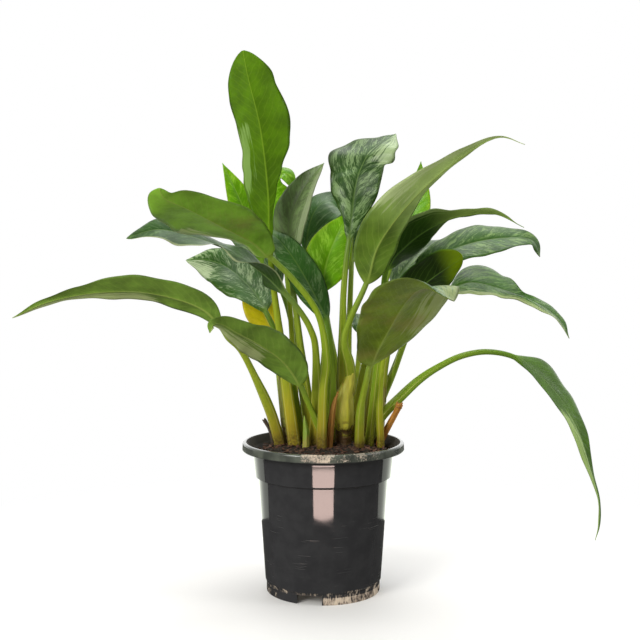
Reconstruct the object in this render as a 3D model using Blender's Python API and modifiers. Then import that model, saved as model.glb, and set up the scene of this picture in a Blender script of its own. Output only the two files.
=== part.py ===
"""A potted Chinese evergreen (Aglaonema) in its black plastic nursery pot.

Metres, +Z up. The origin is on the pot's axis, in the plane that the pot stands on. +X is the plant's
longest direction. Run with: blender --background --python part.py
"""

import math
from dataclasses import dataclass

import bmesh
import bpy
from mathutils import Matrix, Vector

MM = 0.001
GAP = 0.3  # clearance between pieces that touch, in mm like every size below

# The pot: one thin-walled moulding.
POT_HEIGHT = 157.0
LIP_RADIUS = 85.0
LIP_DEPTH = 8.5
MOUTH_RADIUS = 80.0
COLLAR_TOP_RADIUS = 74.2
COLLAR_FOOT_RADIUS = 71.6
STEP_HEIGHT = 121.0
BODY_TOP_RADIUS = 68.3
BODY_FOOT_RADIUS = 61.0
FOOT_RADIUS = 59.8
FOOT_HEIGHT = 10.5
FOOT_THICKNESS = 3.0
WALL = 1.6
FLOOR = 2.0
POT_SEGMENTS = 72
NOTCH_WIDTH = 26.0
NOTCH_HEIGHT = 9.5
NOTCH_REACH = 12.0  # how far its cutter reaches through the foot ring
NOTCH_ANGLES = (-134, -14, 106)  # degrees from the front, towards +X
DRAIN_RADIUS = 4.5
DRAIN_CIRCLE = 44.0
DRAINS = 8  # round the circle, and one more in the middle
DRAIN_SEGMENTS = 16

# The potting mix.
SOIL_TOP = 150.0
SOIL_EDGE = 146.5
SOIL_PLATEAU = 65.0
STEM_START = SOIL_TOP + GAP

# Leaves: rings of eight points from the foot of the stalk to the tip of the blade.
STALK_RINGS = 8
BLADE_RINGS = 13
STALK_TOP_RADIUS = 2.5
STALK_BLEND = 0.2  # part of the blade over which the stalk flattens into it
BLADE_HALF_THICKNESS = 0.35
MIDRIB_KEEL = 1.3
TIP_HALF_WIDTH = 0.5
EDGE_WAVES = 2.5
RIGHT_WAVE_SHIFT = 2.0  # radians, so that the two edges wave out of step

# Colours, roughness: a Principled BSDF each.
COLOURS = {
    "black_plastic": ((0.035, 0.036, 0.037), 0.38),
    "potting_mix": ((0.045, 0.028, 0.018), 0.95),
    "cane": ((0.22, 0.25, 0.06), 0.55),
    "dry": ((0.42, 0.22, 0.06), 0.8),
    "shoot": ((0.35, 0.5, 0.12), 0.5),
    "silver_leaf": ((0.11, 0.2, 0.1), 0.42),
    "olive_leaf": ((0.13, 0.22, 0.045), 0.45),
    "young_leaf": ((0.12, 0.33, 0.01), 0.4),
    "yellow_leaf": ((0.5, 0.42, 0.02), 0.5),
}


@dataclass
class Leaf:
    """One leaf. Its route runs up the stalk and along the midrib; the blade starts at point `blade`.

    `face` points out of the upper surface at the blade's foot and `face_tip` at its tip. `widest` is the
    place of the greatest width along the blade, `tip` how drawn-out the tip is, `lean` how much wider
    the left half is than the right one. `fold` is how far each half rises from the midrib and `curl`
    how far its edge turns back, as parts of the half width; `wave` is the height of the edge's waves.
    """

    name: str
    colour: str
    route: list
    blade: int
    width: float
    face: tuple
    face_tip: tuple
    foot_radius: float = 4.0
    fold: float = 0.2
    curl: float = 0.15
    wave: float = 1.5
    widest: float = 0.4
    tip: float = 1.1
    lean: float = 0.0


LEAVES = [
    Leaf("leaf_tall_upright", "young_leaf",
         [(-30, 8, STEM_START), (-37, 10, 200), (-45, 12, 263), (-53, 14, 322), (-56, 0, 366),
          (-57, -9, 418), (-64, -18, 480), (-76, -19, 530), (-82, -16, 560)],
         4, 60, (0.1, 1, 0.1), (0.1, 1, 0.3), foot_radius=5, curl=0.1, widest=0.61, tip=0.65, lean=0.1),
    Leaf("leaf_upper_left", "olive_leaf",
         [(-2, -8, STEM_START), (0, -11, 212), (3, -14, 245), (-5, -17, 290), (-27, -24, 321),
          (-44, -32, 339), (-67, -55, 362), (-94, -95, 377), (-122, -135, 392), (-141, -162, 402),
          (-138, -173, 416)],
         5, 70, (0.45, 0.75, 0.3), (0.2, 0.9, 0.4), fold=0.3, widest=0.42, tip=0.75, lean=-0.15),
    Leaf("leaf_under_left", "silver_leaf",
         [(-10, 10, STEM_START), (-7, 4, 200), (-8, 0, 253), (-13, -4, 274), (-23, -8, 292),
          (-39, -12, 312), (-63, -8, 334), (-96, 2, 356), (-137, -2, 371), (-172, -8, 378),
          (-203, -14, 369)],
         5, 50, (-0.3, 0.5, 0.8), (-0.2, -0.8, 0.7), wave=3, widest=0.5, tip=0.8),
    Leaf("leaf_silver_left", "silver_leaf",
         [(-24, 32, STEM_START), (-31, 35, 197), (-40, 31, 240), (-50, 28, 267), (-62, 30, 292),
          (-78, 50, 315), (-106, 75, 338), (-131, 92, 347), (-157, 106, 347)],
         4, 62, (0.3, -0.7, 0.7), (-0.2, -0.7, 0.7), fold=0.15, widest=0.45, tip=0.9),
    Leaf("leaf_yellow", "yellow_leaf",
         [(-22, 47, STEM_START), (-33, 51, 205), (-46, 53, 243), (-55, 55, 264), (-67, 62, 290),
          (-76, 72, 314), (-84, 84, 335)],
         3, 40, (0.2, -0.9, 0.3), (0.2, -0.9, 0.3), foot_radius=3, wave=0.5),
    Leaf("leaf_far_left", "olive_leaf",
         [(-46, 18, STEM_START), (-56, 8, 187), (-70, -8, 223), (-84, -25, 254), (-96, -38, 268),
          (-103, -45, 280), (-118, -55, 297), (-145, -64, 309), (-181, -74, 316), (-224, -82, 314),
          (-267, -86, 301), (-300, -88, 283)],
         5, 46, (-0.2, 0.6, 0.75), (-0.3, 0.55, 0.7), foot_radius=4.5, widest=0.42, lean=-0.1),
    Leaf("leaf_lower_left", "olive_leaf",
         [(5, 6, STEM_START), (-6, 0, 175), (-18, -12, 204), (-24, -22, 219), (-40, -42, 244),
          (-61, -62, 262), (-83, -82, 276), (-98, -97, 285), (-108, -107, 287), (-117, -116, 285)],
         3, 52, (0.25, 0.85, 0.5), (0.1, 0.85, 0.5), foot_radius=3.2, wave=1.5, tip=0.9),
    Leaf("leaf_grey_upright", "silver_leaf",
         [(-12, 30, STEM_START), (-20, 28, 218), (-27, 28, 283), (-31, 27, 331), (-32, 26, 363),
          (-29, 23, 394), (-17, 19, 423), (3, 14, 449)],
         3, 40, (-0.45, -0.85, 0.2), (-0.45, -0.8, 0.2), fold=0.3, wave=1, widest=0.5),
    Leaf("leaf_dark_centre", "silver_leaf",
         [(6, 21, STEM_START), (9, 9, 199), (9, 4, 238), (7, 2, 259), (3, 2, 284), (-11, 3, 314),
          (-29, 7, 345), (-44, 12, 365), (-60, 22, 380)],
         4, 38, (0.3, -0.9, 0.4), (0.3, -0.9, 0.4), wave=0.8, widest=0.45, tip=0.8),
    Leaf("leaf_top_silver", "silver_leaf",
         [(20, 14, 213), (21, 8, 263), (21, 5, 305), (24, 7, 345), (27, 9, 368), (30, 10, 394),
          (34, 12, 424), (42, 18, 450), (57, 27, 468), (78, 36, 482)],
         4, 62, (0.1, -1, 0.1), (-0.6, -0.6, 0.7), fold=0.12, wave=2, widest=0.54, tip=0.8, lean=0.05),
    Leaf("leaf_small_arched", "silver_leaf",
         [(12, 54, STEM_START), (8, 58, 237), (-6, 58, 314), (-17, 57, 358), (-15, 60, 385),
          (-6, 66, 405), (10, 75, 414), (34, 84, 404)],
         3, 40, (-0.9, -0.2, 0.3), (-0.2, -0.6, 0.8), foot_radius=3, wave=1),
    Leaf("leaf_young_centre", "young_leaf",
         [(13, 24, 213), (12, 26, 240), (5, 23, 280), (0, 22, 313), (3, 22, 342), (13, 24, 370),
          (27, 29, 398)],
         3, 44, (0.1, -1, 0.0), (0.1, -1, 0.1), foot_radius=2.8, fold=0.25, wave=1),
    Leaf("leaf_young_left", "young_leaf",
         [(-40, 42, STEM_START), (-52, 74, 248), (-69, 84, 345), (-82, 80, 387), (-95, 74, 420),
          (-111, 66, 454)],
         2, 34, (0.2, -1, 0.2), (0.2, -1, 0.2), foot_radius=3.2, wave=1),
    Leaf("leaf_young_back", "young_leaf",
         [(-30, 60, STEM_START), (-34, 76, 248), (-42, 76, 345), (-54, 74, 405), (-52, 68, 434),
          (-41, 62, 441), (-29, 57, 420)],
         2, 34, (0.3, -1, 0.2), (0.0, -0.6, 0.8), foot_radius=3.2, wave=1, widest=0.5),
    Leaf("leaf_big_right", "olive_leaf",
         [(30, 12, 213), (28, 4, 236), (22, -6, 262), (28, -12, 286), (44, -22, 323), (55, -30, 360),
          (77, -38, 393), (106, -44, 424), (140, -48, 451), (173, -50, 468), (200, -50, 461)],
         4, 56, (-0.1, 0.85, 0.1), (-0.55, 0.3, 0.8), wave=1, widest=0.3, tip=1.6),
    Leaf("leaf_young_right", "young_leaf",
         [(30, 43, STEM_START), (42, 50, 215), (57, 52, 282), (75, 48, 345), (89, 44, 379),
          (100, 40, 412), (105, 38, 453)],
         3, 44, (-0.2, -0.9, 0.2), (-0.2, -0.9, 0.2), foot_radius=3.2, wave=1, lean=-0.2),
    Leaf("leaf_dark_right", "silver_leaf",
         [(49, 14, STEM_START), (54, 12, 197), (59, 8, 252), (62, 5, 295), (66, 2, 337),
          (84, 2, 360), (111, 1, 380), (142, 2, 392), (179, 4, 395), (211, 8, 381)],
         4, 66, (-0.45, 0.55, 0.65), (0.1, 0.2, 0.95), fold=0.25, widest=0.32, tip=1.5),
    Leaf("leaf_silver_right", "silver_leaf",
         [(66, 40, 213), (68, 40, 235), (76, 32, 280), (95, 24, 326), (121, 18, 350), (155, 14, 364),
          (191, 14, 370), (220, 16, 368), (230, 18, 350)],
         3, 54, (-0.2, -0.6, 0.75), (0.3, -0.5, 0.8), foot_radius=3.2, widest=0.45, tip=0.9),
    Leaf("leaf_glow_right", "young_leaf",
         [(61, 3, STEM_START), (59, -2, 200), (63, -10, 250), (74, -16, 292), (91, -22, 312),
          (113, -24, 330), (143, -20, 350)],
         3, 64, (-0.4, 0.75, 0.45), (-0.3, 0.6, 0.7), foot_radius=3, wave=1, widest=0.58, tip=0.5),
    Leaf("leaf_droop_right", "silver_leaf",
         [(50, 42, STEM_START), (61, 49, 185), (76, 48, 222), (94, 38, 272), (114, 28, 299),
          (132, 20, 312), (155, 12, 324), (191, 4, 319), (226, -2, 303), (247, -4, 285),
          (257, -4, 265)],
         5, 51, (0.1, -0.5, 0.85), (0.4, -0.4, 0.85), foot_radius=4.3),
    Leaf("leaf_front_right", "olive_leaf",
         [(38, 2, STEM_START), (39, -10, 192), (44, -24, 222), (48, -38, 242), (62, -66, 274),
          (77, -105, 306), (91, -140, 321), (109, -174, 313)],
         3, 86, (-0.5, 0.75, 0.2), (-0.3, 0.8, 0.5), wave=1, widest=0.45, tip=0.8, lean=0.25),
    Leaf("leaf_lower_right", "olive_leaf",
         [(48, 28, STEM_START), (62, 23, 178), (83, 18, 201), (103, 16, 220), (124, 16, 234),
          (148, 18, 245), (176, 22, 249), (205, 25, 244), (235, 27, 229), (264, 29, 201),
          (283, 30, 166), (292, 31, 126), (299, 31, 87), (300, 31, 60), (296, 30, 42)],
         7, 44, (0.3, -0.6, 0.8), (0.8, -0.6, 0.3), foot_radius=4.5, wave=1, widest=0.38),
    Leaf("leaf_back_centre", "silver_leaf",
         [(0, 62, STEM_START), (3, 80, 270), (0, 96, 326), (-10, 124, 358), (-22, 154, 354),
          (-32, 174, 322)],
         2, 58, (0.0, -0.7, 0.7), (-0.2, 0.6, 0.8)),
    Leaf("leaf_back_right", "silver_leaf",
         [(43, 50, STEM_START), (60, 80, 260), (80, 98, 316), (112, 116, 356), (150, 130, 370),
          (180, 138, 354)],
         2, 52, (-0.5, -0.5, 0.7), (0.4, 0.2, 0.9)),
    Leaf("leaf_back_left", "silver_leaf",
         [(-14, 64, STEM_START), (-32, 92, 260), (-50, 108, 318), (-82, 128, 362), (-118, 144, 380),
          (-150, 152, 370)],
         2, 54, (0.4, -0.6, 0.7), (-0.3, 0.2, 0.9)),
    Leaf("leaf_back_upright", "olive_leaf",
         [(24, 58, STEM_START), (30, 70, 300), (32, 80, 345), (34, 98, 390), (33, 124, 422),
          (30, 148, 432)],
         2, 50, (0.1, -0.9, 0.3), (0.0, -0.2, 1)),
    Leaf("leaf_back_low", "silver_leaf",
         [(35, 60, STEM_START), (40, 98, 225), (46, 118, 260), (60, 146, 280), (76, 172, 274)],
         2, 44, (-0.2, -0.6, 0.8), (0.2, 0.3, 0.9)),
]

# Canes, stubs and the shoot: (x, y, z, radius) rings from the foot up.
STEMS = {
    "cane_left": ("cane", [(-36, 24, STEM_START, 5.5), (-40, 22, 175, 5.5), (-44, 18, 205, 4.2),
                           (-47, 16, 222, 3.2)]),
    "cane_centre": ("cane", [(22, 20, STEM_START, 8.5), (22, 19, 168, 8.5), (22, 18, 180, 10),
                             (22, 17, 200, 9.5), (22, 17, 212.6, 8.5)]),
    "cane_right": ("cane", [(60, 36, STEM_START, 5.5), (62, 38, 180, 5.5), (66, 40, 212.6, 4.5)]),
    "cane_back": ("cane", [(14, 40, STEM_START, 6), (12, 42, 180, 6), (10, 42, 205, 5)]),
    "stub_right": ("dry", [(60, 17, STEM_START, 3.6), (68, 11, 168, 3.2), (77, 6, 186, 2.8),
                           (81, 3, 196, 3.4)]),
    "stub_left": ("dry", [(-54, 30, STEM_START, 2.2), (-58, 32, 164, 1.8), (-64, 32, 175, 2.0)]),
    "new_shoot": ("shoot", [(-18, -2, STEM_START, 3.6), (-18, -2, 166, 3.4), (-19, -3, 176, 2.2),
                            (-20, -4, 184, 0.5)]),
    "dried_sheath": ("dry", [(9, 2, STEM_START, 2.6), (11, -1, 175, 2.4), (13, -2, 195, 1.6),
                             (16, -3, 205, 0.8)]),
}
STEM_SIDES = 14


def material(name):
    """One Principled BSDF material for each name in COLOURS."""
    found = bpy.data.materials.get(name)
    if found:
        return found
    colour, roughness = COLOURS[name]
    made = bpy.data.materials.new(name)
    made.use_nodes = True
    shader = made.node_tree.nodes["Principled BSDF"]
    shader.inputs["Base Color"].default_value = (*colour, 1)
    shader.inputs["Roughness"].default_value = roughness
    made.diffuse_color = (*colour, 1)
    return made


def add_object(name, mesh, collection, colour=None):
    made = bpy.data.objects.new(name, mesh)
    collection.objects.link(made)
    if colour:
        mesh.materials.append(material(colour))
        mesh.shade_smooth()
    return made


def millimetres(points):
    return [Vector(point) * MM for point in points]


def turned(name, profile, collection, colour):
    """A closed turned shape from a profile of (radius, height) that runs down its outer side."""
    mesh = bpy.data.meshes.new(name)
    corners = millimetres((radius, 0, height) for radius, height in profile)
    mesh.from_pydata(corners, [(i, i + 1) for i in range(len(corners) - 1)], [])
    made = add_object(name, mesh, collection, colour)
    screw = made.modifiers.new("Turn", "SCREW")
    screw.steps = screw.render_steps = POT_SEGMENTS
    screw.use_merge_vertices = True
    screw.merge_threshold = 0.0001 * MM
    screw.use_smooth_shade = True
    return made


def cutter(name, mesh, collection):
    made = add_object(name, mesh, collection)
    made.hide_render = True
    made.display_type = "WIRE"
    return made


def cut(body, tool):
    boolean = body.modifiers.new(f"Cut {tool.name}", "BOOLEAN")
    boolean.operation = "DIFFERENCE"
    boolean.object = tool


def make_pot(parts, cutters):
    """Lip, collar, step, tapering body, foot ring and raised floor, in one wall."""
    lip_foot = POT_HEIGHT - LIP_DEPTH
    body_inner_foot = FOOT_HEIGHT + FLOOR
    profile = [
        (0, body_inner_foot),
        (BODY_FOOT_RADIUS - 3 * WALL, body_inner_foot),
        (BODY_FOOT_RADIUS - WALL, body_inner_foot + 2),
        (BODY_TOP_RADIUS - WALL, STEP_HEIGHT - 1),
        (COLLAR_FOOT_RADIUS - WALL, STEP_HEIGHT + WALL),
        (COLLAR_TOP_RADIUS - WALL, lip_foot - 3),
        (MOUTH_RADIUS - 3, POT_HEIGHT - 5),
        (MOUTH_RADIUS, POT_HEIGHT - 1),
        (MOUTH_RADIUS + 1.5, POT_HEIGHT),
        (LIP_RADIUS - 1.8, POT_HEIGHT - 0.4),
        (LIP_RADIUS - 0.5, POT_HEIGHT - 1.6),
        (LIP_RADIUS, POT_HEIGHT - 3.5),
        (LIP_RADIUS, lip_foot + 0.5),
        (LIP_RADIUS - 0.5, lip_foot),
        (LIP_RADIUS - WALL, lip_foot),
        (LIP_RADIUS - WALL - 0.4, POT_HEIGHT - 4),
        (MOUTH_RADIUS + 1, POT_HEIGHT - 4),
        (COLLAR_TOP_RADIUS + 1, lip_foot - 2),
        (COLLAR_TOP_RADIUS, lip_foot - 5),
        (COLLAR_FOOT_RADIUS, STEP_HEIGHT + 0.5),
        (COLLAR_FOOT_RADIUS - 0.5, STEP_HEIGHT),
        (BODY_TOP_RADIUS, STEP_HEIGHT - 1),
        (BODY_FOOT_RADIUS, FOOT_HEIGHT + 2),
        (FOOT_RADIUS, FOOT_HEIGHT),
        (FOOT_RADIUS, 0.4),
        (FOOT_RADIUS - 0.4, 0),
        (FOOT_RADIUS - FOOT_THICKNESS, 0),
        (FOOT_RADIUS - FOOT_THICKNESS, FOOT_HEIGHT),
        (0, FOOT_HEIGHT),
    ]
    pot = turned("pot", profile, parts, "black_plastic")

    notches = bmesh.new()
    for angle in NOTCH_ANGLES:
        block = bmesh.ops.create_cube(notches, size=1)["verts"]
        bmesh.ops.scale(notches, verts=block, vec=Vector((NOTCH_WIDTH, NOTCH_REACH, NOTCH_HEIGHT + 1)) * MM)
        middle = Vector((0, -FOOT_RADIUS, (NOTCH_HEIGHT - 1) / 2)) * MM
        bmesh.ops.translate(notches, verts=block, vec=middle)
        turn = Matrix.Rotation(math.radians(angle), 3, "Z")
        bmesh.ops.rotate(notches, verts=block, cent=(0, 0, 0), matrix=turn)
    cut(pot, finish_cutter("notches", notches, cutters))

    drains = bmesh.new()
    for number in range(DRAINS + 1):
        hole = bmesh.ops.create_cone(drains, cap_ends=True, segments=DRAIN_SEGMENTS,
                                     radius1=DRAIN_RADIUS * MM, radius2=DRAIN_RADIUS * MM,
                                     depth=3 * FLOOR * MM)["verts"]
        angle = math.tau * number / DRAINS
        reach = DRAIN_CIRCLE if number < DRAINS else 0
        place = (reach * math.sin(angle), reach * math.cos(angle), FOOT_HEIGHT + FLOOR / 2)
        bmesh.ops.translate(drains, verts=hole, vec=Vector(place) * MM)
    cut(pot, finish_cutter("drains", drains, cutters))


def finish_cutter(name, shape, collection):
    mesh = bpy.data.meshes.new(name)
    shape.to_mesh(mesh)
    shape.free()
    return cutter(name, mesh, collection)


def make_soil(parts):
    """The mix fills the pot from the floor to just under the lip, level where the stems come out."""
    inside = WALL + GAP
    profile = [
        (0, SOIL_TOP),
        (SOIL_PLATEAU, SOIL_TOP),
        (COLLAR_TOP_RADIUS - inside - 1, SOIL_EDGE + 1),
        (COLLAR_TOP_RADIUS - inside - 0.4, SOIL_EDGE - 2),
        (COLLAR_FOOT_RADIUS - inside, STEP_HEIGHT + WALL + 1),
        (BODY_TOP_RADIUS - inside, STEP_HEIGHT - 1),
        (BODY_FOOT_RADIUS - inside - 0.2, FOOT_HEIGHT + FLOOR + 3),
        (BODY_FOOT_RADIUS - inside - 4, FOOT_HEIGHT + FLOOR + GAP),
        (0, FOOT_HEIGHT + FLOOR + GAP),
    ]
    turned("soil", profile, parts, "potting_mix")


def loft(name, rings, collection, colour):
    """Joins rings of equally many points, each anticlockwise seen from the far end, and caps both ends.

    The second half of a ring is split the other way round, so that the upper and lower skins of a thin,
    twisted blade bend alike and never cross.
    """
    sides = len(rings[0])
    corners = [point * MM for ring in rings for point in ring]
    faces = [tuple(reversed(range(sides)))]
    for start in range(0, len(corners) - sides, sides):
        for i in range(sides):
            near, far = start + i, start + (i + 1) % sides
            if i < sides / 2:
                faces += [(near, far, far + sides), (near, far + sides, near + sides)]
            else:
                faces += [(near, far, near + sides), (far, far + sides, near + sides)]
    faces.append(tuple(range(len(corners) - sides, len(corners))))
    mesh = bpy.data.meshes.new(name)
    mesh.from_pydata(corners, [], faces)
    return add_object(name, mesh, collection, colour)


class Route:
    """A smooth curve through points, read by its length."""

    STEPS = 12

    def __init__(self, points):
        points = [Vector(point) for point in points]
        before = points[0] * 2 - points[1]
        after = points[-1] * 2 - points[-2]
        padded = [before, *points, after]
        self.places = [points[0]]
        self.lengths = [0.0]
        self.knots = [0.0]
        for p0, p1, p2, p3 in zip(padded, padded[1:], padded[2:], padded[3:]):
            for step in range(1, self.STEPS + 1):
                place = catmull_rom(p0, p1, p2, p3, step / self.STEPS)
                self.lengths.append(self.lengths[-1] + (place - self.places[-1]).length)
                self.places.append(place)
            self.knots.append(self.lengths[-1])

    def at(self, length):
        length = min(max(length, 0), self.lengths[-1])
        i = max(1, next(i for i, reached in enumerate(self.lengths) if reached >= length))
        share = (length - self.lengths[i - 1]) / (self.lengths[i] - self.lengths[i - 1])
        return self.places[i - 1].lerp(self.places[i], share)

    def direction(self, length, reach=1.5):
        return (self.at(length + reach) - self.at(length - reach)).normalized()


def catmull_rom(p0, p1, p2, p3, t):
    slope1, slope2 = (p2 - p0) / 2, (p3 - p1) / 2
    return (p1 * (1 + 2 * t) * (1 - t) ** 2 + slope1 * t * (1 - t) ** 2
            + p2 * (3 - 2 * t) * t ** 2 + slope2 * (t - 1) * t ** 2)


def across(vector, direction):
    """The part of the vector that is square to the direction, at unit length."""
    return (vector - direction * vector.dot(direction)).normalized()


def round_ring(place, direction, up, radius, sides):
    """A ring that starts at the left side and turns over the upper side."""
    side = direction.cross(up)
    turns = [math.pi - math.tau * i / sides for i in range(sides)]
    return [place + (side * math.cos(turn) + up * math.sin(turn)) * radius for turn in turns]


def blade_outline(leaf, t):
    """Half width as a part of the greatest: an oval foot, the widest place, and a more drawn-out tip."""
    foot = leaf.tip * leaf.widest / (1 - leaf.widest)
    greatest = leaf.widest ** foot * (1 - leaf.widest) ** leaf.tip
    return t ** foot * (1 - t) ** leaf.tip / greatest


def blade_ring(leaf, place, direction, up, t):
    """Eight points: left edge, three along the upper side, right edge, three along the underside."""
    side = direction.cross(up)
    grown = min(t / STALK_BLEND, 1)
    stalk = STALK_TOP_RADIUS * (1 - grown)
    half = max(leaf.width / 2 * blade_outline(leaf, t), stalk, TIP_HALF_WIDTH)
    middle = stalk + BLADE_HALF_THICKNESS * grown
    keel = stalk + MIDRIB_KEEL * grown * (1 - 0.6 * t)
    skin = BLADE_HALF_THICKNESS + stalk / 5

    def point(share, lift):
        swell = 1 - leaf.lean if share > 0 else 1 + leaf.lean
        sweep = math.sin(math.tau * EDGE_WAVES * t + (RIGHT_WAVE_SHIFT if share > 0 else 0))
        rise = half * (leaf.fold * abs(share) - leaf.curl * share ** 2) + leaf.wave * sweep * share ** 2
        return place + side * half * share * swell + up * (rise * grown + lift)

    return [point(-1, 0), point(-0.5, skin), point(0, middle), point(0.5, skin),
            point(1, 0), point(0.5, -skin), point(0, -keel), point(-0.5, -skin)]


def make_leaf(leaf, parts):
    """The stalk grows out of a level foot and widens into the blade: one piece."""
    route = Route(leaf.route)
    blade_start, total = route.knots[leaf.blade], route.lengths[-1]
    face, face_tip = Vector(leaf.face), Vector(leaf.face_tip)

    stalk = []
    up = across(face, route.direction(blade_start))
    for ring in reversed(range(STALK_RINGS)):
        share = ring / STALK_RINGS
        length = blade_start * share
        direction = route.direction(length) if ring else Vector((0, 0, 1))
        up = across(up, direction)
        radius = leaf.foot_radius + (STALK_TOP_RADIUS - leaf.foot_radius) * share
        stalk.insert(0, round_ring(route.at(length), direction, up, radius, 8))

    blade = []
    for ring in range(BLADE_RINGS):
        t = (ring + 0.15) / (BLADE_RINGS - 0.8)
        length = blade_start + (total - blade_start) * t
        direction = route.direction(length)
        up = across(face.lerp(face_tip, t), direction)
        blade.append(blade_ring(leaf, route.at(length), direction, up, t))
    loft(leaf.name, stalk + blade, parts, leaf.colour)


def make_stem(name, parts):
    colour, sections = STEMS[name]
    places = [Vector(section[:3]) for section in sections]
    rings = []
    for i, (place, section) in enumerate(zip(places, sections)):
        direction = Vector((0, 0, 1))
        if 0 < i < len(places) - 1:
            direction = (places[i + 1] - places[i - 1]).normalized()
        up = across(Vector((0, -1, 0)), direction)
        rings.append(round_ring(place, direction, up, section[3], STEM_SIDES))
    loft(name, rings, parts, colour)


def main():
    for old in list(bpy.data.objects):
        bpy.data.objects.remove(old)
    parts = bpy.data.collections.new("potted_chinese_evergreen")
    cutters = bpy.data.collections.new("cutters")
    for collection in (parts, cutters):
        bpy.context.scene.collection.children.link(collection)
    make_pot(parts, cutters)
    make_soil(parts)
    for name in STEMS:
        make_stem(name, parts)
    for leaf in LEAVES:
        make_leaf(leaf, parts)


main()
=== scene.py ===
# %% [markdown]
# # A potted Chinese evergreen
# A Chinese evergreen is a clump of long-stalked leaves on short canes, here in the thin black pot of its
# nursery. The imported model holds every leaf, cane and stub as a coarse solid. Here each gets a fine piece
# on the same lines and a finish made of shader nodes. The tables are in millimetres, as a plant is
# measured; the scene is in metres.

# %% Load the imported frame
import math
import random
from dataclasses import dataclass, replace

import bmesh
import bpy
import numpy as np
from mathutils import Euler, Matrix, Vector, noise


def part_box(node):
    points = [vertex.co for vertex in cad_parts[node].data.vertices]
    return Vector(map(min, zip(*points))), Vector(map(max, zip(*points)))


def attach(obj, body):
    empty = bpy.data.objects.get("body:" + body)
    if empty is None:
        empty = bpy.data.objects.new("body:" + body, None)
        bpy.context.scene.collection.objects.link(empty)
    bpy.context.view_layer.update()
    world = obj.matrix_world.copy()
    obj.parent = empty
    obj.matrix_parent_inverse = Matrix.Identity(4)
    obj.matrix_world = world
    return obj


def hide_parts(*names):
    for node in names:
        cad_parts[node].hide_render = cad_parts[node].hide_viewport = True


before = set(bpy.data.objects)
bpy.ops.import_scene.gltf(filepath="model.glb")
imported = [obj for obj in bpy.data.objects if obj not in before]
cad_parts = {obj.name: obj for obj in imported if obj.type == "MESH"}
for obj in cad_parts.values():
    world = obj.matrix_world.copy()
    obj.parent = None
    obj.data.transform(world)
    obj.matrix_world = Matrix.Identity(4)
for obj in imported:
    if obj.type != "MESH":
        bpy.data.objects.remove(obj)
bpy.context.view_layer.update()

MM = 0.001


def new_object(name, data):
    made = bpy.data.objects.new(name, data)
    bpy.context.scene.collection.objects.link(made)
    return made


def circle(radius, sides):
    """Points round the z axis."""
    turns = np.linspace(0, math.tau, sides, endpoint=False)
    return [(radius * math.cos(turn), radius * math.sin(turn)) for turn in turns]


# %% [markdown]
# ## Camera
# The plant is seen from the height of its lower leaves, a little over a metre away, so the pot's mouth
# is seen from above and the upper leaves from below. A 59 mm lens keeps the whole plant in a square
# picture without bending it.

# %% Place the camera
CAMERA_PLACE = (-0.0034, -1.1, 0.345)
CAMERA_DIP = 3.16  # degrees below level
CAMERA_LENS = 59.2

camera = new_object("camera", bpy.data.cameras.new("camera"))
camera.data.lens = CAMERA_LENS
camera.location = CAMERA_PLACE
camera.rotation_euler = (math.radians(90 - CAMERA_DIP), 0, 0)
bpy.context.scene.camera = camera
print("camera at", CAMERA_PLACE)

# %% [markdown]
# ## Nodes in few words
# Every finish below is a net of nodes. A value is one output of a node, and arithmetic with values adds
# the nodes that work it out, so that a finish reads from top to bottom like a recipe.

# %% Helpers for shader nodes
class Value:
    """One output of a node. Arithmetic with it adds Math nodes to its tree."""

    def __init__(self, socket):
        self.socket, self.tree = socket, socket.id_data

    __add__ = __radd__ = lambda self, other: calc("ADD", self, other)
    __mul__ = __rmul__ = lambda self, other: calc("MULTIPLY", self, other)
    __sub__ = lambda self, other: calc("SUBTRACT", self, other)
    __rsub__ = lambda self, other: calc("SUBTRACT", other, self)
    __truediv__ = lambda self, other: calc("DIVIDE", self, other)
    __gt__ = lambda self, other: calc("GREATER_THAN", self, other)
    __lt__ = lambda self, other: calc("LESS_THAN", self, other)
    __abs__ = lambda self: calc("ABSOLUTE", self)


def join(value, socket):
    """Feeds an input with a value, a number or a colour as (red, green, blue)."""
    if isinstance(value, Value):
        value.tree.links.new(value.socket, socket)
    else:
        socket.default_value = (*value, 1) if socket.type == "RGBA" else value


def outputs_of(node):
    """A node's outputs, by number and by name."""
    return {key: Value(out) for i, out in enumerate(node.outputs) for key in (i, out.name)}


def add(tree, kind, inputs=None, **settings):
    node = tree.nodes.new("ShaderNode" + kind)
    for name, setting in settings.items():
        setattr(node, name, setting)
    for name, value in (inputs or {}).items():
        join(value, node.inputs[name])
    return outputs_of(node)


def calc(operation, first, second=0.0):
    tree = (first if isinstance(first, Value) else second).tree
    return add(tree, "Math", {0: first, 1: second}, operation=operation)[0]


def ease(value, low, high, start=0.0, end=1.0):
    """Goes smoothly from start to end while the value goes from low to high."""
    inputs = {"Value": value, "From Min": low, "From Max": high, "To Min": start, "To Max": end}
    return add(value.tree, "MapRange", inputs, interpolation_type="SMOOTHSTEP")[0]


def fade(value, low, high):
    return ease(value, low, high, 1.0, 0.0)


def blend(share, first, second):
    return add(share.tree, "Mix", {0: share, 6: first, 7: second}, data_type="RGBA")[2]


def mix_shaders(share, first, second):
    return add(share.tree, "MixShader", {0: share, 1: first, 2: second})[0]


def parts_of(vector):
    parts = add(vector.tree, "SeparateXYZ", {0: vector})
    return [parts[k] for k in range(3)]


def vector_of(x, y, z):
    return add(x.tree, "CombineXYZ", {0: x, 1: y, 2: z})[0]


def noise_of(vector, scale, detail=2.0, roughness=0.5, distortion=0.0):
    return add(vector.tree, "TexNoise", {"Vector": vector, "Scale": scale, "Detail": detail,
                                         "Roughness": roughness, "Distortion": distortion})[0]


def object_place(tree):
    return add(tree, "TexCoord")["Object"]


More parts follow.
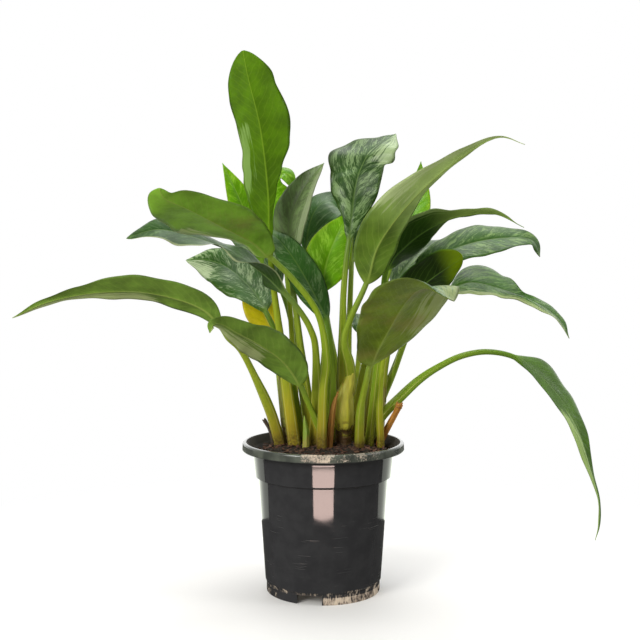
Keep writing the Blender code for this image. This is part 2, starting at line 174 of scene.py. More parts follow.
def attribute(tree, name):
    """The three numbers that a mesh keeps under that name at each of its points."""
    return parts_of(add(tree, "Attribute", attribute_name=name)["Vector"])


def new_material(name):
    """A material, its tree, and the inputs of its shader."""
    material = bpy.data.materials.new(name)
    material.use_nodes = True
    return material, material.node_tree, material.node_tree.nodes["Principled BSDF"].inputs


def surface(sockets, colour, rough, height, strength, depth):
    """Joins colour, roughness and a relief of a depth in metres to a shader."""
    join(colour, sockets["Base Color"])
    join(rough, sockets["Roughness"])
    relief = {"Height": height, "Strength": strength, "Distance": depth}
    join(add(height.tree, "Bump", relief)[0], sockets["Normal"])


# %% [markdown]
# ## Light
# The world is brighter behind the plant than in front, so the leaves keep soft dark sides and the pot
# mirrors a dim room with two bright edges. One soft box stands in front on the left, above the camera,
# a weaker one on the right, and a third hangs above. Seen directly, the world is plain white.

# %% White ground and soft boxes
GROUND_BACK, GROUND_FRONT = 0.95, 0.5
MIRROR_BACK, MIRROR_FRONT, MIRROR_ABOVE, MIRROR_FAR = 1.0, 0.06, 0.4, 1.2
world = bpy.data.worlds.new("studio")
bpy.context.scene.world = world
world.use_nodes = True
tree = world.node_tree
background = tree.nodes["Background"].inputs
rays = add(tree, "LightPath")
_, y, z = parts_of(add(tree, "TexCoord")["Generated"])
lit = ease(y, -0.4, 0.5, GROUND_FRONT, GROUND_BACK)
mirrored = calc("MAXIMUM", ease(y, 0.2, 0.4, MIRROR_FRONT, MIRROR_BACK),
                ease(z, 0.5, 0.9, 0.0, MIRROR_ABOVE))
mirrored = mirrored + ease(y, 0.5, 1.0, 0.0, MIRROR_FAR)
glossy = rays["Is Glossy Ray"]
background["Color"].default_value = (1, 1, 1, 1)
join(calc("MAXIMUM", mirrored * glossy + lit * (1.0 - glossy), rays["Is Camera Ray"]),
     background["Strength"])


def soft_box(name, place, size, power, colour=(1, 1, 1)):
    lamp = bpy.data.lights.new(name, "AREA")
    lamp.shape, lamp.size, lamp.size_y = "RECTANGLE", size[0], size[1]
    lamp.energy, lamp.color = power, colour
    box = new_object(name, lamp)
    box.location = place
    box.rotation_euler = (Vector((0, 0, 0.3)) - Vector(place)).to_track_quat("-Z", "Y").to_euler()
    box.visible_camera = False


soft_box("box_front_left", (-1.1, -1.3, 0.85), (0.8, 0.8), 27, (1, 0.99, 0.96))
soft_box("box_right", (1.5, -0.3, 0.9), (0.6, 0.9), 9)
soft_box("box_above", (0.1, 0.4, 1.8), (1.0, 1.0), 16)
bpy.context.scene.view_settings.view_transform = "Standard"

# %% [markdown]
# ## Floor
# Near the pot the floor takes a soft shadow, and further out it turns into the white of the ground, so no
# horizon cuts the picture. What the black pot mirrors is half of its look. So for mirrored light the floor
# is a dark table top of 0.3 m with white beyond and behind it, and a bright narrow card in front, which the
# pot shows as one sharp strip.

# %% Make the floor
FLOOR_REACH, FLOOR_SIDES = 3.0, 64
TABLE_REACH = 0.3
CARD_NEAR, CARD_FAR = -0.287, -0.43  # y of the card's ends
CARD_MIDDLE, CARD_HALF, CARD_FLARE = 0.001, 0.0112, 0.32  # its half width is told at y = -0.066
CARD_SIGHT, WHITE_SIGHT = 0.36, 0.8  # how far the card and the white beyond the table are mirrored
CARD_POWER = 14.0


def studio_floor():
    mesh = bpy.data.meshes.new("floor")
    mesh.from_pydata([(x, y, 0) for x, y in circle(FLOOR_REACH, FLOOR_SIDES)], [],
                     [tuple(range(FLOOR_SIDES))])
    material, tree, sockets = new_material("pale_floor")
    sockets["Base Color"].default_value = (0.86, 0.85, 0.83, 1)
    sockets["Roughness"].default_value = 0.7
    rays = add(tree, "LightPath")
    x, y, _ = parts_of(object_place(tree))
    reach = calc("SQRT", x * x + y * y)
    pale = Value(tree.nodes["Principled BSDF"].outputs[0])
    white = add(tree, "Emission", {"Color": (1, 1, 1)})[0]
    seen = mix_shaders(ease(reach, 0.12, 0.6), pale, white)

    beyond = (y > reach * 0.33) * (reach > TABLE_REACH) * (rays["Ray Length"] < WHITE_SIGHT)
    card = abs(x - CARD_MIDDLE) < y * -CARD_FLARE + (CARD_HALF - 0.066 * CARD_FLARE)
    card = card * (y < CARD_NEAR) * (y > CARD_FAR) * (rays["Ray Length"] < CARD_SIGHT)
    mirrored = blend(beyond, (0.05, 0.05, 0.045), (0.95, 1.0, 0.88))
    mirrored = blend(card, mirrored, (1.0, 0.74, 0.66))
    power = card * (CARD_POWER - 1) + ease(y / reach, 0.5, 1.0, 1.0, 1.0 + MIRROR_FAR)
    mirrored = add(tree, "Emission", {"Color": mirrored, "Strength": power})[0]
    dim = add(tree, "Emission", {"Color": (0.62, 0.6, 0.54)})[0]
    unseen = mix_shaders(rays["Is Glossy Ray"], dim, mirrored)
    join(mix_shaders(rays["Is Camera Ray"], unseen, seen), tree.nodes["Material Output"].inputs["Surface"])
    mesh.materials.append(material)
    new_object("floor", mesh)


studio_floor()
print(f"floor {2 * FLOOR_REACH:.0f} m across")

# %% [markdown]
# ## Patterns that several finishes share
# Nothing on a plant is one flat colour. A soft mottle varies every surface, side veins leave the midrib of
# each blade at a slant, silver flecks lie between them like feathers, and a fine grain runs along stalks
# and bark. Each is one node group, and each material places it with its own values. The leaf groups read
# two attributes of the leaf meshes: where a point lies on its leaf, as shares and in millimetres.

# %% Helpers for node groups
def new_group(name, inputs, outputs):
    """An empty group, with its entry's values and its exit's inputs."""
    group = bpy.data.node_groups.new(name, "ShaderNodeTree")
    for socket, value in inputs.items():
        kind = "NodeSocketFloat" if isinstance(value, (int, float)) else "NodeSocketVector"
        made = group.interface.new_socket(socket, in_out="INPUT", socket_type=kind)
        made.default_value = value
    for socket, kind in outputs.items():
        group.interface.new_socket(socket, in_out="OUTPUT", socket_type="NodeSocket" + kind)
    print("group:", name)
    entry, way_out = group.nodes.new("NodeGroupInput"), group.nodes.new("NodeGroupOutput")
    return group, outputs_of(entry), way_out.inputs


def place_group(tree, group, **values):
    """Puts a group into a tree. Spaces in socket names are written as _ here."""
    node = tree.nodes.new("ShaderNodeGroup")
    node.node_tree = group
    for name, value in values.items():
        join(value, node.inputs[name.replace("_", " ").title()])
    return outputs_of(node)


# %% Soft mottle and lengthwise grain
SOFT_MOTTLE, given, out = new_group("Soft Mottle", {"Scale": 40.0, "Detail": 4.0}, {"Value": "Float"})
cloud = noise_of(object_place(SOFT_MOTTLE), given["Scale"], given["Detail"], 0.6)
join(ease(cloud, 0.3, 0.7), out["Value"])

FINE_GRAIN, given, out = new_group("Fine Grain", {"Scale": 300.0, "Stretch": 0.06}, {"Value": "Float"})
x, y, z = parts_of(object_place(FINE_GRAIN))
fibres = noise_of(vector_of(x, y, z * given["Stretch"]), given["Scale"], 3.0)
join(ease(fibres, 0.3, 0.7), out["Value"])


def soft_mottle(tree, scale, detail=4.0):
    return place_group(tree, SOFT_MOTTLE, scale=scale, detail=detail)["Value"]


def fine_grain(tree, scale, stretch=0.06):
    return place_group(tree, FINE_GRAIN, scale=scale, stretch=stretch)["Value"]


# %% Veins of a blade, and the flow that the flecks follow
LEAF_VEINS, given, out = new_group(
    "Leaf Veins", {"Spacing": 9.0, "Slant": 1.1, "Midrib Width": 1.6},
    {"Midrib": "Float", "Side Veins": "Float", "Flow": "Vector"})
side_mm, along_mm, seed = attribute(LEAF_VEINS, "leaf_mm")
side, along, _ = attribute(LEAF_VEINS, "leaf_place")
off, half = abs(side_mm), calc("SIGN", side_mm)
wander = noise_of(vector_of(off * 0.05, along_mm * 0.08, seed + half), 1.0, 1.0)
reach = along_mm - (off * given["Slant"] + off * off * 0.008)
rung = reach / given["Spacing"] + wander * 1.2
vein = ease(abs(calc("FRACT", rung) - 0.5), 0.0, 0.14, 1.0, 0.0)
join(vein * ease(abs(side), 0.55, 1.0, 1.0, 0.15), out["Side Veins"])
width = given["Midrib Width"] * ease(along, 0.0, 1.0, 1.0, 0.3)
join(fade(off, width * 0.4, width), out["Midrib"])
join(vector_of(off * 0.11, rung * 1.7, seed * 3.7 + half), out["Flow"])

# %% Feathered flecks along the side veins
FEATHERED_FLECKS, given, out = new_group(
    "Feathered Flecks", {"Flow": (0.0, 0.0, 0.0), "Amount": 0.5, "Softness": 0.06}, {"Mask": "Float"})
fine, broad = noise_of(given["Flow"], 2.2, 5.0, 0.65, 0.8), noise_of(given["Flow"], 0.55, 1.0)
limit = 0.62 - given["Amount"] * 0.24
flecks = ease(fine * 0.62 + broad * 0.38, limit - given["Softness"], limit + given["Softness"])
off = abs(attribute(FEATHERED_FLECKS, "leaf_place")[0])
join(flecks * (ease(off, 0.03, 0.2) * ease(off, 0.82, 1.0, 1.0, 0.25)), out["Mask"])

# %% Pale streaks along one half of a blade, thickest towards its edge: partly the blade's own silvering, partly a painted sheen
PALE_STREAKS_AND_SHEEN, given, out = new_group(
    "Pale Streaks And Sheen", {"Side": 1.0, "Amount": 0.5, "Start": 0.1, "From": 0.0, "Until": 1.0},
    {"Mask": "Float"})
side, along, _ = attribute(PALE_STREAKS_AND_SHEEN, "leaf_place")
_, along_mm, seed = attribute(PALE_STREAKS_AND_SHEEN, "leaf_mm")
streaks = noise_of(vector_of(side * 8.0, along_mm * 0.013, seed * 5.3), 1.5, 4.0, 0.55, 0.25)
lean = side * given["Side"]
zone = ease(lean, given["Start"], 1.0, 0.0, 0.34)
reach = (ease(along, given["From"] - 0.35, given["From"])
         * fade(along, given["Until"], given["Until"] + 0.15))
streaks = ease((streaks + zone + given["Amount"] * 0.3) * reach, 0.66, 0.84)
join(streaks * ease(lean, given["Start"], given["Start"] + 0.2), out["Mask"])

# %% [markdown]
# ## Finishes of the leaves
# Grown leaves are dark green with silver flecks above, and plain olive green with a pale rib below. Young
# leaves are fresh green with lime flecks, and one old leaf has turned yellow. One recipe makes them all: it
# colours the upper face, the lower face and the stalk apart, and an attribute says which of them a point
# lies on. A little subsurface scattering lets light through. Some colours are painted light and shade: a
# few lower faces are painted dark as shade, a far colour paints light towards the tip, pale streaks are
# partly a painted sheen, and stalks carry painted shade along their flanks and at their foot.

# %% Leaf finishes
@dataclass
class LeafFinish:
    """Colours are linear red, green, blue. Glow is the share of light that the blade lets through."""

    upper: tuple
    lower: tuple
    rib: tuple
    fleck: tuple = (0.22, 0.32, 0.19)
    amount: float = 0.3
    streaks: tuple = ()  # pale streaks, partly the blade's silvering and partly a painted sheen: colour, side, amount, where they start across, and from and until along
    far: tuple = ()  # the colour that the lower face takes towards its tip, a painted light
    far_from: float = 0.5
    stalk_foot: tuple = (0.36, 0.27, 0.015)
    stalk: tuple = (0.3, 0.37, 0.02)
    blush: float = 0.0  # brownish patches of an ageing blade
    glow: float = 0.0
    shine: float = 0.4
    gloss: float = 0.25


SILVER = LeafFinish((0.02, 0.06, 0.005), (0.08, 0.15, 0.02), (0.12, 0.2, 0.05), (0.14, 0.22, 0.07), 0.4)
MID_SILVER = replace(SILVER, upper=(0.025, 0.08, 0.007), fleck=(0.14, 0.24, 0.06), amount=0.35)
DEEP = LeafFinish((0.025, 0.09, 0.008), (0.04, 0.1, 0.008), (0.1, 0.19, 0.03), (0.1, 0.18, 0.06))
OLIVE = LeafFinish((0.04, 0.1, 0.012), (0.125, 0.22, 0.024), (0.26, 0.34, 0.06), amount=0.4)
FINISHES = {
    "silver": SILVER,
    # Its pale streaks over the folded crown are a painted highlight where the crown faces up.
    "silver_lit_crown": replace(SILVER, fleck=(0.17, 0.26, 0.1), amount=0.42, streaks=((0.34, 0.44, 0.22), 1,
        0.25, -0.3, 0.75, 1.2)),
    "mid_silver": MID_SILVER,
    "silver_dark_foot": replace(MID_SILVER, fleck=(0.25, 0.34, 0.16), amount=0.32, gloss=0.15,
        streaks=((0.4, 0.48, 0.28), -1, 0.15, -0.4, 0.7, 1.2)),
    # Its dark lower face is a painted shadow, and its pale streaks along the edge are partly silvering and
    # partly painted sheen.
    "pale_left": replace(SILVER, upper=(0.02, 0.06, 0.008), lower=(0.03, 0.07, 0.01),
        fleck=(0.08, 0.15, 0.04), amount=0.25, gloss=0.15, streaks=((0.42, 0.46, 0.24), -1, 0.5, 0.78, -0.2,
        1.2)),
    "striped": replace(SILVER, upper=(0.03, 0.1, 0.004), fleck=(0.12, 0.24, 0.04), amount=0.35,
        streaks=((0.38, 0.45, 0.2), 1, 0.2, 0.35, -0.2, 1.2)),
    "grey_green": replace(SILVER, upper=(0.095, 0.135, 0.05), amount=0.45, streaks=((0.25, 0.3, 0.16), 1,
        0.1, -0.1, -0.2, 1.2)),
    "deep": DEEP,
    # A painted shade darkens its lower face, and its far colour is a painted light towards the tip.
    "deep_backed": replace(DEEP, lower=(0.02, 0.055, 0.003), far=(0.22, 0.32, 0.07), far_from=0.34,
        gloss=0.12, streaks=((0.26, 0.36, 0.12), 1, 0.15, 0.45, -0.2, 1.2)),
    "fresh": LeafFinish((0.06, 0.15, 0.002), (0.065, 0.15, 0.0), (0.15, 0.26, 0.012), shine=0.46,
        gloss=0.12, streaks=((0.22, 0.36, 0.09), 1, 0.08, 0.1, 0.35, 0.6)),
    "lime": LeafFinish((0.11, 0.28, 0.0), (0.12, 0.29, 0.0), (0.25, 0.42, 0.04), (0.24, 0.45, 0.03),
        glow=0.2),
    "olive": OLIVE,
    "olive_gold": replace(OLIVE, lower=(0.16, 0.32, 0.026), stalk_foot=(0.45, 0.24, 0.02), gloss=0.12,
        blush=0.35, streaks=((0.4, 0.48, 0.2), 1, 0.25, 0.45, 0.0, 0.5)),
    # Its darker lower face is a painted shade, and its far colour is a painted light on the tail.
    "olive_tailed": replace(OLIVE, lower=(0.1, 0.175, 0.014), far=(0.3, 0.42, 0.12), far_from=0.2,
        streaks=((0.42, 0.5, 0.24), 1, 0.12, -0.1, 0.4, 1.2)),
    "olive_pleated": replace(OLIVE, lower=(0.14, 0.21, 0.01), blush=0.3, streaks=((0.3, 0.36, 0.14), -1,
        0.2, 0.05, 0.3, 1.2)),
    "olive_streaked": replace(OLIVE, streaks=((0.42, 0.48, 0.22), 1, 0.4, -0.1, 0.45, 1.2)),
    "green_striped": replace(DEEP, upper=(0.06, 0.14, 0.006), stalk=(0.3, 0.42, 0.03), amount=0.12,
        streaks=((0.36, 0.5, 0.16), 1, 0.4, -0.3, 0.45, 1.2)),
    # Its near black lower face is a painted shade, and its yellow-green far colour is painted light shining
    # through the tip.
    "glowing": replace(DEEP, lower=(0.012, 0.03, 0.001), far=(0.16, 0.25, 0.0), far_from=0.66, gloss=0.1),
    "yellow": LeafFinish((0.6, 0.5, 0.006), (0.6, 0.48, 0.01), (0.45, 0.36, 0.03), (0.65, 0.52, 0.02),
        stalk=(0.36, 0.34, 0.04), glow=0.1),
}
MATT_BACK = 0.22  # how much rougher a blade's lower face is


def leaf_material(name, finish):
    material, tree, sockets = new_material(name)
    side, along, is_upper = attribute(tree, "leaf_place")
    off = abs(side)
    veins = place_group(tree, LEAF_VEINS)
    flecks = place_group(tree, FEATHERED_FLECKS, flow=veins["Flow"], amount=finish.amount)["Mask"]
    mottle, fine = soft_mottle(tree, 38.0), soft_mottle(tree, 420.0, 2.0)

    def varied(colour, spread=0.25):
        dark, light = ([c * (1 + d) for c in colour] for d in (-spread, spread))
        return blend(mottle, dark, light)

    upper = blend(flecks, varied(finish.upper), varied(finish.fleck, 0.15))
    upper = blend(veins["Side Veins"] * 0.22, upper, finish.fleck)
    upper = blend(veins["Midrib"] * 0.55, upper, finish.rib)
    lower = varied(finish.lower, 0.26)
    # Towards the tip the lower face takes the far colour, a painted light.
    if finish.far:
        lower = blend(ease(along, finish.far_from, finish.far_from + 0.3), lower, varied(finish.far, 0.16))
    lower = blend(veins["Side Veins"] * 0.2, lower, finish.rib)
    lower = blend(veins["Midrib"] * 0.7, lower, finish.rib)
    blade = blend(is_upper, lower, upper)
    # Pale streaks, partly the blade's own silvering and partly a painted sheen, lighten one half of the
    # blade.
    if finish.streaks:
        pale, *values = finish.streaks
        named = dict(zip(("side", "amount", "start", "from", "until"), values))
        blade = blend(place_group(tree, PALE_STREAKS_AND_SHEEN, **named)["Mask"] * 0.75, blade, pale)
    if finish.blush:
        tired = noise_of(object_place(tree), 22.0, 4.0, 0.6)
        blade = blend(ease(tired, 0.5, 0.68, 0.0, finish.blush), blade, (0.24, 0.15, 0.05))
    blade = blend(ease(off, 0.955, 0.99) * 0.45, blade, finish.rib)

    stalk = blend(ease(along, -0.95, -0.55), finish.stalk_foot, finish.stalk)
    stalk = blend(ease(along, -0.35, 0.0), stalk, finish.rib)
    stalk = blend(fine_grain(tree, 500.0) * 0.45, stalk, [c * 0.55 for c in finish.stalk])
    own_tint = calc("FRACT", attribute(tree, "leaf_mm")[2] * 0.618)
    stalk = blend(own_tint * 0.6, stalk, (0.13, 0.26, 0.012))
    # Darker along the stalk's flanks and lighter down its middle: a painted shade and a painted highlight.
    stalk = blend(ease(off, 0.55, 1.0, 0.0, 0.5), stalk, (0.09, 0.17, 0.008))
    margin = ease(off, 0.4, 0.46) * fade(off, 0.5, 0.56) * ease(along, -0.6, -0.3, 0.6, 0.0)
    stalk = blend(margin, stalk, (0.45, 0.42, 0.12))
    # Near the mix the stalk browns, partly soil stain and partly painted shade, and at its very foot it
    # turns near black, a painted shade.
    stalk = blend(ease(along, -1.0, -0.85, 1.3, 0.0) * mottle * 0.7, stalk, (0.13, 0.07, 0.015))
    stalk = blend(ease(along, -0.98, -0.9, 0.75, 0.0) * fine, stalk, (0.05, 0.028, 0.01))

    rough = ease(fine, 0.0, 1.0, finish.shine - 0.05, finish.shine + 0.07)
    surface(sockets, blend(ease(along, -0.01, 0.06), stalk, blade),
            rough + ease(is_upper, 0.0, 1.0, MATT_BACK, 0.0), veins["Side Veins"] * 0.5 + fine * 0.25,
            0.3, 0.0004)
    sockets["Specular IOR Level"].default_value = finish.gloss
    sockets["Subsurface Weight"].default_value = finish.glow
    sockets["Subsurface Radius"].default_value = (1.0, 1.4, 0.4)
    sockets["Subsurface Scale"].default_value = 0.002
    return material


LEAF_MATERIALS = {name: leaf_material(f"leaf_{name}", finish) for name, finish in FINISHES.items()}
print(len(LEAF_MATERIALS), "leaf finishes")

# %% [markdown]
# ## Routes
# A leaf is drawn by one line that runs up its stalk and along its midrib. A Catmull-Rom curve passes
# through every point of a route, so the table can say where the leaf really goes. Reading it by length
# gives rings at even steps.

# %% Curve through points
SPAN_STEPS = 24
HEADING_REACH = 3.0  # mm to each side over which a route's direction is taken


class Route:
    def __init__(self, points):
        points = np.array(points, float)
        padded = np.vstack([2 * points[0] - points[1], points, 2 * points[-1] - points[-2]])
        t = np.linspace(0, 1, SPAN_STEPS, endpoint=False)[:, None]
        spans = []
        for p0, p1, p2, p3 in zip(padded, padded[1:], padded[2:], padded[3:]):
            slope1, slope2 = (p2 - p0) / 2, (p3 - p1) / 2
            spans.append(p1 * (1 + 2 * t) * (1 - t) ** 2 + slope1 * t * (1 - t) ** 2
                         + p2 * (3 - 2 * t) * t ** 2 + slope2 * (t - 1) * t ** 2)
        self.places = np.vstack([*spans, points[-1:]])
        steps = np.linalg.norm(np.diff(self.places, axis=0), axis=1)
        self.lengths = np.concatenate([[0], np.cumsum(steps)])
        self.knots = self.lengths[::SPAN_STEPS]

    def at(self, lengths):
        return np.stack([np.interp(lengths, self.lengths, self.places[:, k]) for k in range(3)], -1)

    def heading(self, lengths):
        return unit(self.at(lengths + HEADING_REACH) - self.at(lengths - HEADING_REACH))


def unit(vectors):
    return vectors / np.linalg.norm(vectors, axis=-1, keepdims=True)


def across(vectors, headings):
    """The part of each vector that is square to its heading, at unit length."""
    return unit(vectors - headings * (vectors * headings).sum(-1, keepdims=True))


def smooth(values):
    values = np.clip(values, 0, 1)
    return values * values * (3 - 2 * values)


# %% Mesh from rings
def ring_faces(rings, sides):
    """Quads between rings of equally many points, and a cap on each end."""
    i = np.arange(sides)
    j = (i + 1) % sides
    starts = np.arange(rings - 1)[:, None] * sides
    quads = np.stack([starts + i, starts + j, starts + sides + j, starts + sides + i], -1)
    last = (rings - 1) * sides
    return [tuple(reversed(range(sides))), *map(tuple, quads.reshape(-1, 4).tolist()),
            tuple(range(last, last + sides))]


def add_piece(name, points, faces, material, nodes, attributes=None):
    """A smooth piece from points in millimetres. It rides the part and stands for CAD nodes."""
    mesh = bpy.data.meshes.new(name)
    mesh.from_pydata((np.asarray(points, float).reshape(-1, 3) * MM).tolist(), [], faces)
    for label, values in (attributes or {}).items():
        made = mesh.attributes.new(label, "FLOAT_VECTOR", "POINT")
        made.data.foreach_set("vector", np.asarray(values, np.float32).reshape(-1))
    mesh.materials.append(material)
    mesh.shade_smooth()
    return fitted(new_object(name, mesh), nodes)


def fitted(piece, nodes):
    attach(piece, "root")
    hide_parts(*nodes)
    return piece


# %% [markdown]
# ## The leaves' table
# Each row follows one leaf from the soil to its tip. The blade starts at the numbered point. Two
# vectors say where its upper face looks, at the foot and at the tip, because most blades twist.
# Widest, tip and lean shape the outline, and edges, rows of (share of the length, factor of each half),
# make it uneven where the leaf has rolled or folded. Fold lifts the halves from the midrib, curl turns
# their edges back, wave ruffles them, and a crease (share, depth, reach) bends the blade across.

# %% Table of leaves
@dataclass
class Leaf:
    name: str  # without the node's "leaf_"
    finish: str
    route: list
    blade: int
    width: float
    face: tuple
    face_tip: tuple
    foot: float = 4.0  # radius of the stalk's foot
    fold: float = 0.2
    curl: float = 0.15
    wave: float = 1.5
    widest: float = 0.4
    tip: float = 1.1
    lean: float = 0.0
    edges: tuple = ()
    crease: tuple = ()


